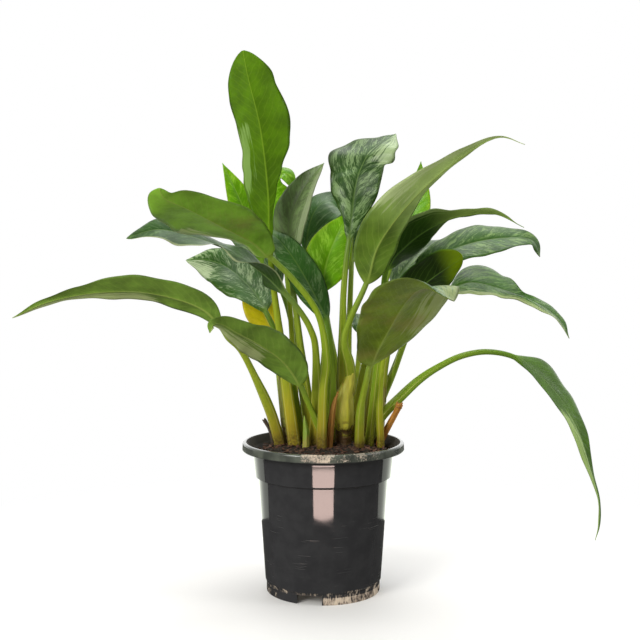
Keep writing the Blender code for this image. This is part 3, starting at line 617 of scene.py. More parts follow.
FOOT = 150.3  # height at which stalks and stems leave the mix
LEAVES = [
    Leaf("tall_upright", "fresh", [(-30, 8, FOOT), (-37, 10, 200), (-45, 12, 263), (-53, 14, 322),
        (-56, 0, 366), (-57, -9, 418), (-64, -18, 480), (-76, -19, 530), (-82, -16, 560)], 4, 60,
        (0.1, 1, 0.1), (0.1, 1, 0.3), foot=5, curl=0.1, widest=0.61, tip=0.65, lean=0.1, edges=((0, 1, 0.5),
        (0.15, 1.6, 0.3), (0.28, 1.35, 0.42), (0.38, 1.1, 0.6), (0.5, 0.87, 0.86), (0.63, 0.9, 0.97),
        (0.78, 1.06, 0.9), (0.88, 1.12, 1.05), (1, 1.1, 1))),
    Leaf("upper_left", "olive_gold", [(-2, -8, FOOT), (0, -11, 212), (3, -14, 245), (-5, -17, 290),
        (-29, -25, 325), (-55, -41, 351), (-71, -60, 365), (-94, -95, 377), (-122, -135, 392),
        (-141, -159, 401), (-145, -169, 410)], 5, 70, (0.45, 0.75, 0.3), (0.25, 0.9, 0.4), fold=0.3,
        wave=0.8, widest=0.42, tip=0.7, lean=-0.15, edges=((0, 0.4, 0.6), (0.15, 0.6, 0.95),
        (0.35, 1.0, 1.15), (0.5, 1.15, 1.2), (0.65, 1.1, 1.1), (0.78, 1.15, 1.05), (0.88, 1.25, 1.1),
        (1, 1.3, 1.2))),
    Leaf("under_left", "pale_left", [(-10, 10, FOOT), (-7, 4, 200), (-8, 0, 253), (-13, -4, 274),
        (-23, -8, 292), (-39, -12, 312), (-63, -8, 334), (-96, 2, 356), (-137, -2, 371), (-172, -8, 378),
        (-203, -14, 369)], 5, 50, (-0.3, 0.5, 0.8), (-0.2, -0.8, 0.7), foot=4.8, wave=3, widest=0.5,
        tip=0.8, edges=((0, 1.5, 1.5), (0.2, 1.7, 1.5), (0.45, 1.1, 1.1), (1, 1, 1))),
    Leaf("silver_left", "silver_dark_foot", [(-24, 32, FOOT), (-31, 35, 197), (-40, 31, 240),
        (-50, 28, 267), (-62, 30, 292), (-78, 50, 315), (-106, 75, 338), (-131, 92, 347), (-157, 106, 347)],
        4, 62, (0.3, -0.7, 0.7), (-0.2, -0.7, 0.7), fold=0.15, widest=0.45, tip=0.9),
    Leaf("yellow", "yellow", [(-22, 47, FOOT), (-33, 51, 205), (-46, 53, 243), (-55, 55, 264),
        (-67, 62, 290), (-76, 72, 314), (-84, 84, 335)], 3, 40, (0.2, -0.9, 0.3), (0.2, -0.9, 0.3), foot=3,
        wave=0.5),
    Leaf("far_left", "olive_streaked", [(-46, 18, FOOT), (-56, 8, 187), (-70, -8, 223), (-84, -25, 254),
        (-96, -38, 268), (-103, -45, 280), (-118, -55, 297), (-145, -64, 309), (-181, -74, 316),
        (-224, -82, 315), (-267, -86, 306), (-300, -88, 291)], 5, 46, (-0.2, 0.6, 0.75), (-0.3, 0.55, 0.7),
        foot=4.5, widest=0.42, lean=-0.1, edges=((0, 0.8, 1.3), (0.15, 0.75, 1.3), (0.43, 0.58, 1.1),
        (0.68, 0.42, 0.88), (0.85, 0.6, 0.6), (1, 0.7, 0.7))),
    Leaf("lower_left", "olive_streaked", [(5, 6, FOOT), (-6, 0, 175), (-18, -12, 204), (-24, -22, 219),
        (-40, -42, 244), (-61, -62, 262), (-83, -82, 276), (-96, -95, 285), (-104, -105, 286),
        (-107, -113, 278)], 3, 52, (0.25, 0.85, 0.5), (0.1, 0.85, 0.5), foot=3.2, tip=0.9,
        edges=((0, 0.9, 1), (0.4, 0.9, 1), (0.7, 0.7, 1), (1, 0.5, 1))),
    Leaf("grey_upright", "grey_green", [(-12, 30, FOOT), (-20, 28, 218), (-28, 28, 283), (-34, 27, 331),
        (-36, 26, 363), (-33, 23, 394), (-20, 19, 423), (1, 14, 449)], 3, 42, (-0.45, -0.85, 0.2),
        (-0.45, -0.8, 0.2), foot=5.2, fold=0.3, wave=1, widest=0.5),
    Leaf("dark_centre", "deep", [(6, 21, FOOT), (9, 9, 199), (9, 4, 238), (7, 2, 259), (3, 2, 284),
        (-11, 3, 314), (-29, 7, 345), (-44, 12, 365), (-60, 22, 380)], 4, 38, (0.3, -0.9, 0.4),
        (0.3, -0.9, 0.4), foot=5, wave=0.8, widest=0.45, tip=0.8),
    Leaf("top_silver", "silver_lit_crown", [(21, 15, 198), (20, 14, 213), (21, 8, 263), (21, 5, 305),
        (24, 7, 345), (27, 9, 368), (30, 10, 394), (34, 12, 424), (42, 18, 450), (57, 27, 468),
        (78, 36, 482)], 5, 62, (0.1, -1, 0.1), (-0.6, -0.6, 0.7), foot=4.4, fold=0.12, wave=2, widest=0.54,
        tip=0.8, lean=0.05, edges=((0, 0.6, 0.5), (0.17, 0.75, 0.55), (0.25, 0.9, 0.7), (0.37, 0.95, 0.9),
        (0.5, 0.88, 1.02), (0.65, 0.85, 1.45), (0.78, 1.3, 1.35), (0.9, 1.6, 0.7), (1, 1, 0.6)),
        crease=(0.6, 5.0, 0.06)),
    Leaf("small_arched", "deep", [(12, 54, FOOT), (8, 58, 237), (-6, 58, 314), (-17, 57, 358),
        (-15, 60, 385), (-6, 66, 405), (10, 75, 414), (34, 84, 404)], 3, 44, (-0.8, -0.6, 0.3),
        (-0.2, -0.8, 0.6), foot=4.6, wave=1, edges=((0, 1.9, 0.9), (0.6, 1.9, 0.9), (1, 1.3, 1))),
    Leaf("young_centre", "lime", [(17, 21, 198), (13, 24, 213), (12, 26, 240), (5, 23, 280), (0, 22, 313),
        (3, 22, 342), (13, 24, 370), (27, 29, 398)], 4, 50, (0.1, -1, 0.0), (0.1, -1, 0.1), foot=2.8,
        wave=1),
    Leaf("young_left", "lime", [(-40, 42, FOOT), (-52, 74, 248), (-69, 84, 345), (-82, 80, 387),
        (-95, 74, 420), (-111, 66, 454)], 2, 34, (0.2, -1, 0.2), (0.2, -1, 0.2), foot=3.2, wave=1,
        edges=((0, 0.3, 0.3), (0.3, 0.6, 0.6), (0.6, 1, 1), (1, 1, 1))),
    Leaf("young_back", "lime", [(-30, 60, FOOT), (-34, 76, 248), (-42, 76, 345), (-54, 74, 405),
        (-52, 68, 434), (-41, 62, 441), (-29, 57, 420)], 2, 34, (0.3, -1, 0.2), (0.0, -0.6, 0.8), foot=3.2,
        wave=1, widest=0.5),
    Leaf("big_right", "olive_tailed", [(24, 15, 196), (29, 12, 213), (28, 4, 236), (22, -6, 262),
        (28, -12, 286), (44, -22, 323), (55, -30, 360), (77, -38, 393), (106, -44, 424), (140, -48, 451),
        (173, -50, 468), (200, -50, 461)], 5, 56, (-0.1, 0.85, 0.1), (-0.55, 0.3, 0.8), foot=4.4, wave=1,
        widest=0.3, tip=1.6, edges=((0, 1, 1), (0.15, 1, 0.85), (0.3, 1.05, 0.55), (0.5, 1.05, 0.35),
        (0.7, 1, 0.3), (0.85, 0.9, 0.4), (1, 0.8, 0.6))),
    Leaf("young_right", "lime", [(30, 43, FOOT), (42, 50, 215), (57, 52, 282), (75, 48, 345), (89, 44, 379),
        (100, 40, 412), (105, 38, 453)], 3, 34, (-0.2, -0.9, 0.2), (-0.2, -0.9, 0.2), foot=3.2, wave=1,
        lean=-0.2),
    Leaf("dark_right", "deep_backed", [(49, 14, FOOT), (54, 12, 197), (59, 8, 252), (62, 5, 295),
        (66, 2, 337), (84, 2, 360), (111, 1, 380), (142, 2, 392), (179, 4, 395), (211, 8, 381)], 4, 66,
        (-0.45, 0.55, 0.65), (0.1, 0.2, 0.95), fold=0.25, widest=0.32, tip=1.5, edges=((0, 1, 1),
        (0.2, 1.1, 1.1), (0.4, 0.95, 0.85), (0.52, 0.65, 0.4), (0.7, 0.6, 0.3), (0.85, 0.7, 0.4),
        (1, 0.7, 0.5))),
    Leaf("silver_right", "mid_silver", [(65, 39, 198), (66, 40, 213), (68, 40, 235), (76, 32, 280),
        (95, 24, 326), (121, 18, 350), (155, 14, 364), (191, 14, 370), (220, 16, 368), (230, 18, 350)], 4,
        54, (-0.2, -0.6, 0.75), (0.3, -0.5, 0.8), foot=3.2, widest=0.45, tip=0.9),
    Leaf("glow_right", "glowing", [(61, 3, FOOT), (59, -2, 200), (63, -10, 250), (74, -16, 292),
        (91, -22, 312), (113, -24, 330), (143, -20, 350)], 3, 64, (-0.4, 0.75, 0.45), (-0.3, 0.6, 0.7),
        foot=3, wave=1, widest=0.58, tip=0.5),
    Leaf("droop_right", "striped", [(50, 42, FOOT), (61, 49, 185), (76, 48, 222), (94, 38, 272),
        (114, 28, 299), (132, 20, 312), (155, 12, 323), (191, 4, 315), (226, -2, 300), (247, -4, 284),
        (257, -4, 265)], 5, 51, (0.1, -0.5, 0.85), (0.4, -0.4, 0.85), foot=4.3, edges=((0, 1.3, 1.5),
        (0.22, 1.2, 1.9), (0.4, 0.95, 1.2), (0.56, 0.5, 0.35), (0.72, 0.95, 0.95), (1, 1, 1))),
    Leaf("front_right", "olive_pleated", [(38, 2, FOOT), (39, -10, 192), (44, -24, 222), (48, -38, 242),
        (62, -66, 274), (77, -105, 306), (91, -140, 321), (109, -174, 313)], 3, 92, (-0.5, 0.75, 0.2),
        (-0.3, 0.8, 0.5), wave=1, widest=0.45, tip=0.65, lean=0.25, edges=((0, 1.05, 0.9), (0.2, 1.05, 0.9),
        (0.4, 1.15, 0.95), (0.6, 1.4, 0.95), (0.8, 1.7, 0.9), (1, 1.3, 0.8))),
    Leaf("lower_right", "green_striped", [(48, 28, FOOT), (62, 23, 178), (83, 18, 201), (103, 16, 220),
        (124, 16, 234), (148, 18, 245), (176, 22, 249), (205, 25, 243), (230, 27, 226), (257, 29, 196),
        (277, 30, 161), (289, 31, 123), (299, 31, 87), (300, 31, 60), (296, 30, 42)], 7, 44,
        (0.3, -0.6, 0.8), (0.8, -0.6, 0.3), foot=4.5, wave=1, widest=0.38, edges=((0, 0.8, 1.5),
        (0.12, 0.75, 1.6), (0.3, 0.8, 1.0), (0.5, 0.75, 0.6), (0.65, 0.55, 0.4), (0.8, 0.4, 0.3),
        (1, 0.5, 0.5))),
    Leaf("back_centre", "silver", [(0, 62, FOOT), (3, 80, 270), (0, 96, 326), (-10, 124, 358),
        (-22, 154, 354), (-32, 174, 322)], 2, 58, (0.0, -0.7, 0.7), (-0.2, 0.6, 0.8), foot=5.5),
    Leaf("back_right", "silver", [(43, 50, FOOT), (60, 80, 260), (80, 98, 316), (112, 116, 356),
        (150, 130, 370), (180, 138, 354)], 2, 52, (-0.5, -0.5, 0.7), (0.4, 0.2, 0.9)),
    Leaf("back_left", "silver", [(-14, 64, FOOT), (-32, 92, 260), (-50, 108, 318), (-82, 128, 362),
        (-118, 144, 380), (-150, 152, 370)], 2, 54, (0.4, -0.6, 0.7), (-0.3, 0.2, 0.9), foot=5.2),
    Leaf("back_upright", "olive", [(24, 58, FOOT), (30, 70, 300), (32, 80, 345), (34, 98, 390),
        (33, 124, 422), (30, 148, 432)], 2, 50, (0.1, -0.9, 0.3), (0.0, -0.2, 1)),
    Leaf("back_low", "silver", [(35, 60, FOOT), (40, 98, 225), (46, 118, 260), (60, 146, 280),
        (76, 172, 274)], 2, 44, (-0.2, -0.6, 0.8), (0.2, 0.3, 0.9)),
]
print(len(LEAVES), "leaves, the longest route with", max(len(leaf.route) for leaf in LEAVES), "points")

# %% [markdown]
# ## One leaf
# A blade is about half a millimetre thick. It has a groove along the midrib above and a round keel below, a
# ripple over each side vein, and edges that wave out of step. The stalk is round, with a channel on its
# upper side, and its lower part is a sheath with two thin margins. Ring after ring of points gives one
# closed skin, from which stalk and blade grow without a seam.

# %% Section and outline of a leaf
HALF_SIDE = 11  # points from midrib to edge, on each face
STALK_STEPS, BLADE_STEPS = 56, 96
STALK_TOP_RADIUS = 2.8
SKIN = 0.28  # half the blade's thickness
BLEND_SHARE = 0.13  # part of the blade over which the stalk flattens into it
EDGE_WAVES, RIGHT_WAVE_SHIFT = 2.5, 2.0
BUCKLE = 0.22  # slow bulges of each half
VEIN_SPACING, VEIN_SLANT, VEIN_RIPPLE = 9.0, 1.1, 0.22
FOOT_DEPTH = 5.0  # how far a stalk goes down into the mix
FOLD_ROUNDING, CREASE_SLANT = 0.003, 0.12
OVERTONE, OVERTONE_PITCH, OVERTONE_SHIFT = 0.3, 2.7, 2.3  # of the waves along the edges
RIB_END, RIB_MORE = 0.5, 1.5  # width of groove and keel at the tip, and what the foot adds
GROOVE, KEEL_END, KEEL_MORE = 0.6, 0.2, 1.5
SHEATH_UNTIL, SHEATH_FADE, SHEATH_FLARE = 0.62, 0.3, 0.4  # shares of the stalk
CHANNEL, SHEATH_CHANNEL, MARGIN, MARGIN_AT = 0.18, 0.2, 0.28, 0.48


def blade_outline(leaf, t):
    """Half width as a share of the greatest."""
    foot = leaf.tip * leaf.widest / (1 - leaf.widest)
    greatest = leaf.widest ** foot * (1 - leaf.widest) ** leaf.tip
    return t ** foot * (1 - t) ** leaf.tip / greatest


def edge_factors(leaf, t):
    """How much each edge's half is widened there, eased between the rows of the leaf's table."""
    if not leaf.edges:
        return 1.0, 1.0
    at, first, second = np.array(leaf.edges).T
    k = int(np.clip(np.searchsorted(at, t) - 1, 0, len(at) - 2))
    share = smooth((t - at[k]) / (at[k + 1] - at[k]))
    return tuple(row[k] + (row[k + 1] - row[k]) * share for row in (first, second))


def blade_points(leaf, t, length, u, top):
    """Offsets to the side and up from the midrib, for shares u of the half width, on one face."""
    flat = smooth(t / BLEND_SHARE)
    stalk = STALK_TOP_RADIUS * (1 - flat)
    half = np.sqrt((leaf.width / 2 * blade_outline(leaf, t)) ** 2 + stalk ** 2 + 0.09)
    share = np.sin(u * math.pi / 2) * (1 - flat) + np.sign(u) * abs(u) ** 1.5 * flat
    first, second = edge_factors(leaf, t)
    wide = np.where(share > 0, (1 - leaf.lean) * first, (1 + leaf.lean) * second)
    side = half * share * (1 + (wide - 1) * flat)
    off, crown = abs(share), np.sqrt(np.clip(1 - share ** 2, 0, 1))
    shift = np.where(share > 0, RIGHT_WAVE_SHIFT, 0.0)
    ruffle = (np.sin(math.tau * EDGE_WAVES * t + shift)
              + OVERTONE * np.sin(math.tau * OVERTONE_PITCH * EDGE_WAVES * t + OVERTONE_SHIFT * shift
                                  + leaf.width))
    rise = half * (leaf.fold * np.sqrt(off ** 2 + FOLD_ROUNDING) - leaf.curl * off ** 2)
    rise = rise + leaf.wave * ruffle * off ** 2 * np.sqrt(np.sin(math.pi * np.clip(t, 0, 1)))
    rise = rise + BUCKLE * half * np.sin(7 * t + leaf.width + 1.5 * shift) * off * (1 - off)
    if leaf.crease:
        at, depth, reach = leaf.crease
        rise = rise - depth * np.exp(-((t - at - CREASE_SLANT * share) / reach) ** 2) * (0.3 + off)
    ripple = np.sin(math.tau * (length - VEIN_SLANT * abs(side)) / VEIN_SPACING)
    rise = rise + VEIN_RIPPLE * ripple * 4 * off * (1 - off) * np.sqrt(np.clip(1 - t, 0, 1))
    rib = np.exp(-(side / (RIB_END + RIB_MORE * (1 - t))) ** 2)
    if top:
        lift = stalk * crown + SKIN * flat * crown - GROOVE * (1 - t) * flat * rib
    else:
        lift = -stalk * crown - SKIN * flat * crown - (KEEL_END + KEEL_MORE * (1 - t)) * flat * rib
    return side, rise * flat + lift, share


def stalk_points(leaf, share, u, top):
    """The same for the stalk: a circle with a channel above, and a sheath's margins near the foot."""
    radius = leaf.foot + (STALK_TOP_RADIUS - leaf.foot) * share
    sheath = smooth((SHEATH_UNTIL - share) / SHEATH_FADE)
    side = radius * (1 + SHEATH_FLARE * sheath) * np.sin(u * math.pi / 2)
    lift = radius * np.cos(u * math.pi / 2) * (1 if top else -1)
    if top:
        channel = CHANNEL * (1 - smooth((share - 0.85) / 0.15)) + SHEATH_CHANNEL * sheath
        lift = lift - radius * channel * np.exp(-(u / 0.3) ** 2)
        lift = lift + radius * MARGIN * sheath * np.exp(-((abs(u) - MARGIN_AT) / 0.1) ** 2)
    return side, lift, u


# %% Build every leaf
UPRIGHT_RINGS, UPRIGHT_PULL = 3, 2.0  # a stalk rises out of the mix nearly upright
BLADE_CROWDING, BLADE_END = 1.05, 0.998


def leaf_piece(leaf, seed):
    route = Route(leaf.route)
    blade_start, total = route.knots[leaf.blade], route.lengths[-1]
    up_side = np.linspace(-1, 1, 2 * HALF_SIDE + 1)
    sections = [(up_side, True), (up_side[-2:0:-1], False)]
    face, face_tip = np.array(leaf.face, float), np.array(leaf.face_tip, float)
    rings, place, size = [], [], []

    def add_ring(middle, heading, up, offsets, along, length):
        side_way = np.cross(heading, up)
        ring = [middle + side[:, None] * side_way + lift[:, None] * up for side, lift, _ in offsets]
        rings.append(np.concatenate(ring))
        for (side, _, share), (_, top) in zip(offsets, sections):
            edge = np.where(abs(share) > 0.999, 0.5, float(top))
            place.append(np.stack([share, np.full_like(share, along), edge], -1))
            size.append(np.stack([side, np.full_like(side, length), np.full_like(side, seed)], -1))

    stalk_share = np.linspace(0, 1, STALK_STEPS, endpoint=False)
    headings = route.heading(stalk_share * blade_start)
    headings[:UPRIGHT_RINGS] = unit(headings[:UPRIGHT_RINGS] + np.array([0, 0, UPRIGHT_PULL]))
    up, ups = across(face, route.heading(blade_start)), []
    for heading in headings[::-1]:
        up = across(up, heading)
        ups.insert(0, up)
    for share, heading, up in zip(stalk_share, headings, ups):
        middle = route.at(share * blade_start)
        if share == 0:
            middle = middle - np.array([0, 0, FOOT_DEPTH])
        offsets = [stalk_points(leaf, share, u, top) for u, top in sections]
        add_ring(middle, heading, up, offsets, share - 1, (share - 1) * blade_start)

    for t in np.linspace(0, 1, BLADE_STEPS) ** BLADE_CROWDING * BLADE_END:
        length = blade_start + (total - blade_start) * t
        heading = route.heading(length)
        up = across(face * (1 - t) + face_tip * t, heading)
        offsets = [blade_points(leaf, t, length - blade_start, u, top) for u, top in sections]
        add_ring(route.at(length), heading, up, offsets, t, length - blade_start)

    faces = ring_faces(len(rings), 4 * HALF_SIDE)
    return add_piece(f"leaf_{leaf.name}_blade", rings, faces, LEAF_MATERIALS[leaf.finish],
                     ["leaf_" + leaf.name],
                     {"leaf_place": np.concatenate(place), "leaf_mm": np.concatenate(size)})


leaf_pieces = [leaf_piece(leaf, seed) for seed, leaf in enumerate(LEAVES)]
print(len(leaf_pieces), "leaf pieces with", sum(len(p.data.vertices) for p in leaf_pieces), "points")

# %% [markdown]
# ## Canes, stubs and the shoot
# The leaves grow from short canes ringed with the scars of old leaves. Fat yellow-green sheaths over a
# brown foot hide the middle one. Two old stalks were cut off and dried, a papery sheath curls beside the
# middle cane, and one new shoot is still rolled up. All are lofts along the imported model's lines, with
# rings and ridges as changes of the radius.

# %% Finish of canes and stubs
def stem_material(name, foot, top, scar, change=(0.2, 0.45), rough=0.5):
    """Foot and top colours along the stem, darker in the scars. The attribute stem holds both."""
    material, tree, sockets = new_material(name)
    share, scarred, _ = attribute(tree, "stem")
    mottle, grain = soft_mottle(tree, 130.0), fine_grain(tree, 420.0)
    colour = blend(ease(share + ease(mottle, 0.0, 1.0, -0.12, 0.12), *change), foot, top)
    colour = blend(grain * 0.35, colour, [c * 0.55 for c in foot])
    surface(sockets, blend(scarred, colour, scar), ease(grain, 0.0, 1.0, rough - 0.08, rough + 0.15),
            grain + mottle, 0.4, 0.0005)
    sockets["Subsurface Weight"].default_value = 0.1
    sockets["Subsurface Scale"].default_value = 0.002
    return material


STEM_MATERIALS = {name: stem_material(name, *colours, **more) for name, *colours, more in [
    ("green_cane", (0.16, 0.12, 0.03), (0.3, 0.33, 0.06), (0.1, 0.05, 0.015), {}),
    ("fat_sheath", (0.12, 0.07, 0.02), (0.55, 0.52, 0.05), (0.1, 0.045, 0.012), {"change": (0.16, 0.3)}),
    ("brown_cane", (0.17, 0.11, 0.03), (0.24, 0.22, 0.045), (0.09, 0.05, 0.015), {}),
    ("dry_stalk", (0.4, 0.14, 0.015), (0.42, 0.18, 0.02), (0.05, 0.03, 0.02), {"rough": 0.65}),
    ("dark_stalk", (0.05, 0.035, 0.02), (0.07, 0.05, 0.03), (0.02, 0.015, 0.01), {"rough": 0.7}),
    ("paper_sheath", (0.36, 0.16, 0.025), (0.42, 0.2, 0.03), (0.12, 0.05, 0.02), {"rough": 0.7}),
    ("pale_shoot", (0.32, 0.3, 0.05), (0.22, 0.34, 0.03), (0.2, 0.3, 0.05), {"rough": 0.42}),
]}
print(len(STEM_MATERIALS), "stem finishes")

# %% Loft the canes, stubs and shoot
STEM_SIDES, STEM_STEPS = 40, 72
SCAR_REACH = 0.012
END_FROM, END_SPAN = 0.85, 0.15  # shares of the length that slant and rag change


@dataclass
class Stem:
    """Rings are (x, y, z, radius). Scars are (share of the length, depth in mm)."""

    name: str
    material: str
    rings: list
    scars: tuple = ()
    ridges: float = 0.04
    ragged: float = 0.0
    slant: float = 0.0  # how much further the end reaches on one side


STEMS = [
    Stem("cane_left", "green_cane", [(-36, 24, FOOT, 5.5), (-40, 22, 175, 5.8), (-44, 18, 205, 4.2),
        (-47, 16, 220, 1.6)], ((0.12, 0.5), (0.25, 0.5), (0.4, 0.4)), slant=3.0),
    Stem("cane_centre", "fat_sheath", [(22, 20, FOOT, 8.0), (22, 18, 166, 8.2), (22, 16, 172, 10.2),
        (21, 14, 184, 11.3), (21, 14, 195, 10.9), (23, 13, 206, 9.2), (27, 11, 217, 6.8),
        (29, 8, 227, 4.6)], ((0.04, 0.8), (0.08, 0.9), (0.125, 1.0)), slant=3.0),
    Stem("cane_right", "brown_cane", [(60, 36, FOOT, 5.5), (62, 38, 180, 5.8), (66, 40, 216, 3.8)],
        ((0.1, 0.5), (0.22, 0.6), (0.36, 0.5), (0.52, 0.4)), slant=3.0),
    Stem("cane_back", "brown_cane", [(14, 40, FOOT, 6), (12, 42, 180, 6), (10, 42, 205, 3)],
        ((0.15, 0.5), (0.35, 0.5), (0.6, 0.4)), slant=3.0),
    Stem("stub_right", "dry_stalk", [(60, 17, FOOT, 3.6), (68, 11, 168, 3.2), (77, 6, 186, 2.8),
        (81, 3, 196, 3.4)], ((0.93, -0.5),), ridges=0.14, ragged=1.0),
    Stem("stub_left", "dark_stalk", [(-54, 30, FOOT, 2.2), (-58, 32, 164, 1.8), (-64, 32, 175, 2.0)],
        ((0.9, -0.3),), ridges=0.14, ragged=0.8),
    Stem("new_shoot", "pale_shoot", [(-18, -2, FOOT, 3.6), (-18, -2, 166, 3.4), (-19, -3, 176, 2.2),
        (-20, -4, 184, 0.5)], ridges=0.07),
    Stem("dried_sheath", "paper_sheath", [(6, 1, FOOT, 3.0), (8, -2, 175, 3.0), (11, -3, 195, 2.2),
        (15, -2, 208, 0.7)], ridges=0.22, ragged=0.6, slant=2.0),
]


def stem_piece(stem, seed):
    route = Route([ring[:3] for ring in stem.rings])
    turns = np.linspace(0, math.tau, STEM_SIDES, endpoint=False)
    rings, place = [], []
    for share in np.linspace(0, 1, STEM_STEPS):
        length = route.lengths[-1] * share
        heading = route.heading(length)
        up = across(np.array([0.0, -1.0, 0.0]), heading)
        side = np.cross(heading, up)
        radius = np.interp(length, route.knots, [ring[3] for ring in stem.rings])
        scar = sum(depth * np.exp(-((share - at) / SCAR_REACH) ** 2) for at, depth in stem.scars)
        ridged = 1 + stem.ridges * (np.sin(5 * turns + seed + 2 * share)
                                    + 0.6 * np.sin(11 * turns + 2 * seed - share))
        reach = (radius - scar) * ridged
        near_end = smooth((share - END_FROM) / END_SPAN)
        end = near_end * (stem.ragged * np.sin(3 * turns + seed) + stem.slant * np.sin(turns + seed))
        sink = np.array([0, 0, FOOT_DEPTH]) if share == 0 else 0
        rings.append(route.at(length) - sink + (reach * np.sin(turns))[:, None] * up
                     + (reach * np.cos(turns))[:, None] * side + end[:, None] * heading)
        mark = np.clip(abs(scar) * 1.2, 0, 0.85)
        place.append(np.tile([share, mark, seed], (STEM_SIDES, 1)))
    return add_piece(stem.name + "_skin", rings, ring_faces(STEM_STEPS, STEM_SIDES),
                     STEM_MATERIALS[stem.material], [stem.name], {"stem": np.concatenate(place)})


stem_pieces = [stem_piece(stem, seed) for seed, stem in enumerate(STEMS)]
print(len(stem_pieces), "stems")

# %% [markdown]
# ## Potting mix
# The mix is dark, crumbly and uneven, with chips of reddish bark on top. Its surface is a disc of
# rings whose points are pushed up and down by noise; below, it follows the inside of the pot. The
# chips are flat splinters, each a closed hull of a few jittered corners.

# %% Finish of the mix
def soil_material(name, dark, light, scale, rough):
    material, tree, sockets = new_material(name)
    mottle, grain = soft_mottle(tree, scale, 6.0), fine_grain(tree, 700.0, 0.4)
    colour = blend(mottle * 0.5 + attribute(tree, "tone")[0] * 0.7, dark, light)
    colour = blend(grain * 0.4, colour, [c * 0.4 for c in dark])
    surface(sockets, colour, ease(grain, 0.0, 1.0, rough - 0.1, rough + 0.1), mottle, 0.9, 0.0012)
    return material


CRUMBS = soil_material("crumbly_mix", (0.01, 0.007, 0.003), (0.045, 0.026, 0.012), 420.0, 0.9)
BARK = soil_material("bark_chips", (0.024, 0.012, 0.006), (0.15, 0.062, 0.03), 160.0, 0.75)

# %% Build the mix
SOIL_TOP, SOIL_EDGE_RADIUS, SOIL_SIDES, SOIL_RINGS = 150.0, 72.2, 160, 54
SOIL_FALL = 4  # how much lower the mix lies at the wall
SOIL_LUMPS = ((2.2, 0.09, 1), (1.3, 0.28, 5), (0.7, 0.8, 9))  # mm, pitch, layer of the noise
SOIL_WALL = [(72.2, 144), (69.7, 123.6), (66.4, 120), (58.9, 15.5), (55.1, 12.9)]  # radius, height


def soil_height(x, y):
    """Height of the mix's surface at a place, in mm."""
    reach = math.hypot(x, y)
    lumps = sum(size * noise.noise((x * pitch, y * pitch, layer)) for size, pitch, layer in SOIL_LUMPS)
    return SOIL_TOP - SOIL_FALL * (reach / SOIL_EDGE_RADIUS) ** 4 + lumps


def soil_piece():
    rows = [[(x, y, soil_height(x, y)) for x, y in circle(reach, SOIL_SIDES)]
            for reach in np.linspace(0.6, SOIL_EDGE_RADIUS, SOIL_RINGS)]
    rows += [[(x, y, height) for x, y in circle(reach, SOIL_SIDES)] for reach, height in SOIL_WALL]
    tone = np.tile([0.2, 0, 0], (len(rows) * SOIL_SIDES, 1))
    return add_piece("potting_mix", rows[::-1], ring_faces(len(rows), SOIL_SIDES), CRUMBS, ["soil"],
                     {"tone": tone})


CHIP_COUNT, CHIP_SPREAD, CHIP_LIFT = 620, 70, 0.8
CHIP_CORNERS = np.array([(x, y, z) for x in (-1, 1) for y in (-1, 1) for z in (-1, 1)], float)


def bark_piece():
    draw = random.Random(7)
    shape = bmesh.new()
    tone_layer = shape.verts.layers.float_vector.new("tone")
    for _ in range(CHIP_COUNT):
        reach, turn = CHIP_SPREAD * math.sqrt(draw.random()), draw.random() * math.tau
        x, y = reach * math.cos(turn), reach * math.sin(turn)
        length = draw.uniform(2.2, 8.5) * draw.uniform(0.6, 1)
        size = np.array([length, length * draw.uniform(0.3, 0.7), draw.uniform(0.5, 1.3)])
        tilt = Euler((draw.gauss(0, 0.35), draw.gauss(0, 0.35), draw.random() * math.tau))
        tone = draw.random() ** 1.5
        chip = []
        for corner in CHIP_CORNERS:
            jitter = np.array([draw.uniform(0.55, 1) for _ in range(3)])
            spot = Vector(corner * size * jitter / 2)
            spot.rotate(tilt)
            spot += Vector((x, y, soil_height(x, y) + CHIP_LIFT))
            vert = shape.verts.new(spot * MM)
            vert[tone_layer] = (tone, 0, 0)
            chip.append(vert)
        hull = bmesh.ops.convex_hull(shape, input=chip)
        bmesh.ops.delete(shape, geom=hull["geom_interior"], context="VERTS")
    mesh = bpy.data.meshes.new("bark_chips")
    shape.to_mesh(mesh)
    shape.free()
    mesh.materials.append(BARK)
    return fitted(new_object("bark_chips", mesh), ["soil"])


soil_piece()
print("mix with", len(bark_piece().data.polygons), "faces of bark")

# %% [markdown]
# ## The pot
# A nursery pot is moulded in one thin wall: a rolled lip, a collar with a step, a body that tapers to a
# foot ring with three notches, and a raised floor with drain holes. It is turned from one profile with
# eased corners, and Booleans cut the notches and holes. The plastic is charcoal and half glossy, scuffed on
# the lower body, with hard-water scale on the lip and the foot.

# %% Finish of the pot
LIP_FOOT = 0.1485
MOUTH_START, MOUTH_FLARE = 0.0734 - 0.68 * 0.1455, 0.68  # radius of the inner wall by height
SCALE_PLACES = [  # (heights), (turns from the front), softness of the turns, weight
    ((0.150, 0.1575), (-0.24, 0.06), 0.08, 1.02), ((0.150, 0.158), (0.1, 0.7), 0.15, 0.79),
    ((0.150, 0.158), (1.0, 1.35), 0.2, 0.6), ((0.150, 0.158), (-1.5, -0.5), 0.3, 0.3),
    ((-0.001, 0.007), (0.0, 1.5), 0.03, 1.05), ((0.006, 0.013), (0.02, 1.5), 0.1, 0.8),
    ((-0.001, 0.006), (-1.6, -0.9), 0.2, 0.7), ((0.009, 0.012), (-1.5, 0.0), 0.1, 0.76),
]


def band(value, low, high, soft):
    """1 between low and high, with soft ends."""
    return ease(value, low - soft, low) * fade(value, high, high + soft)


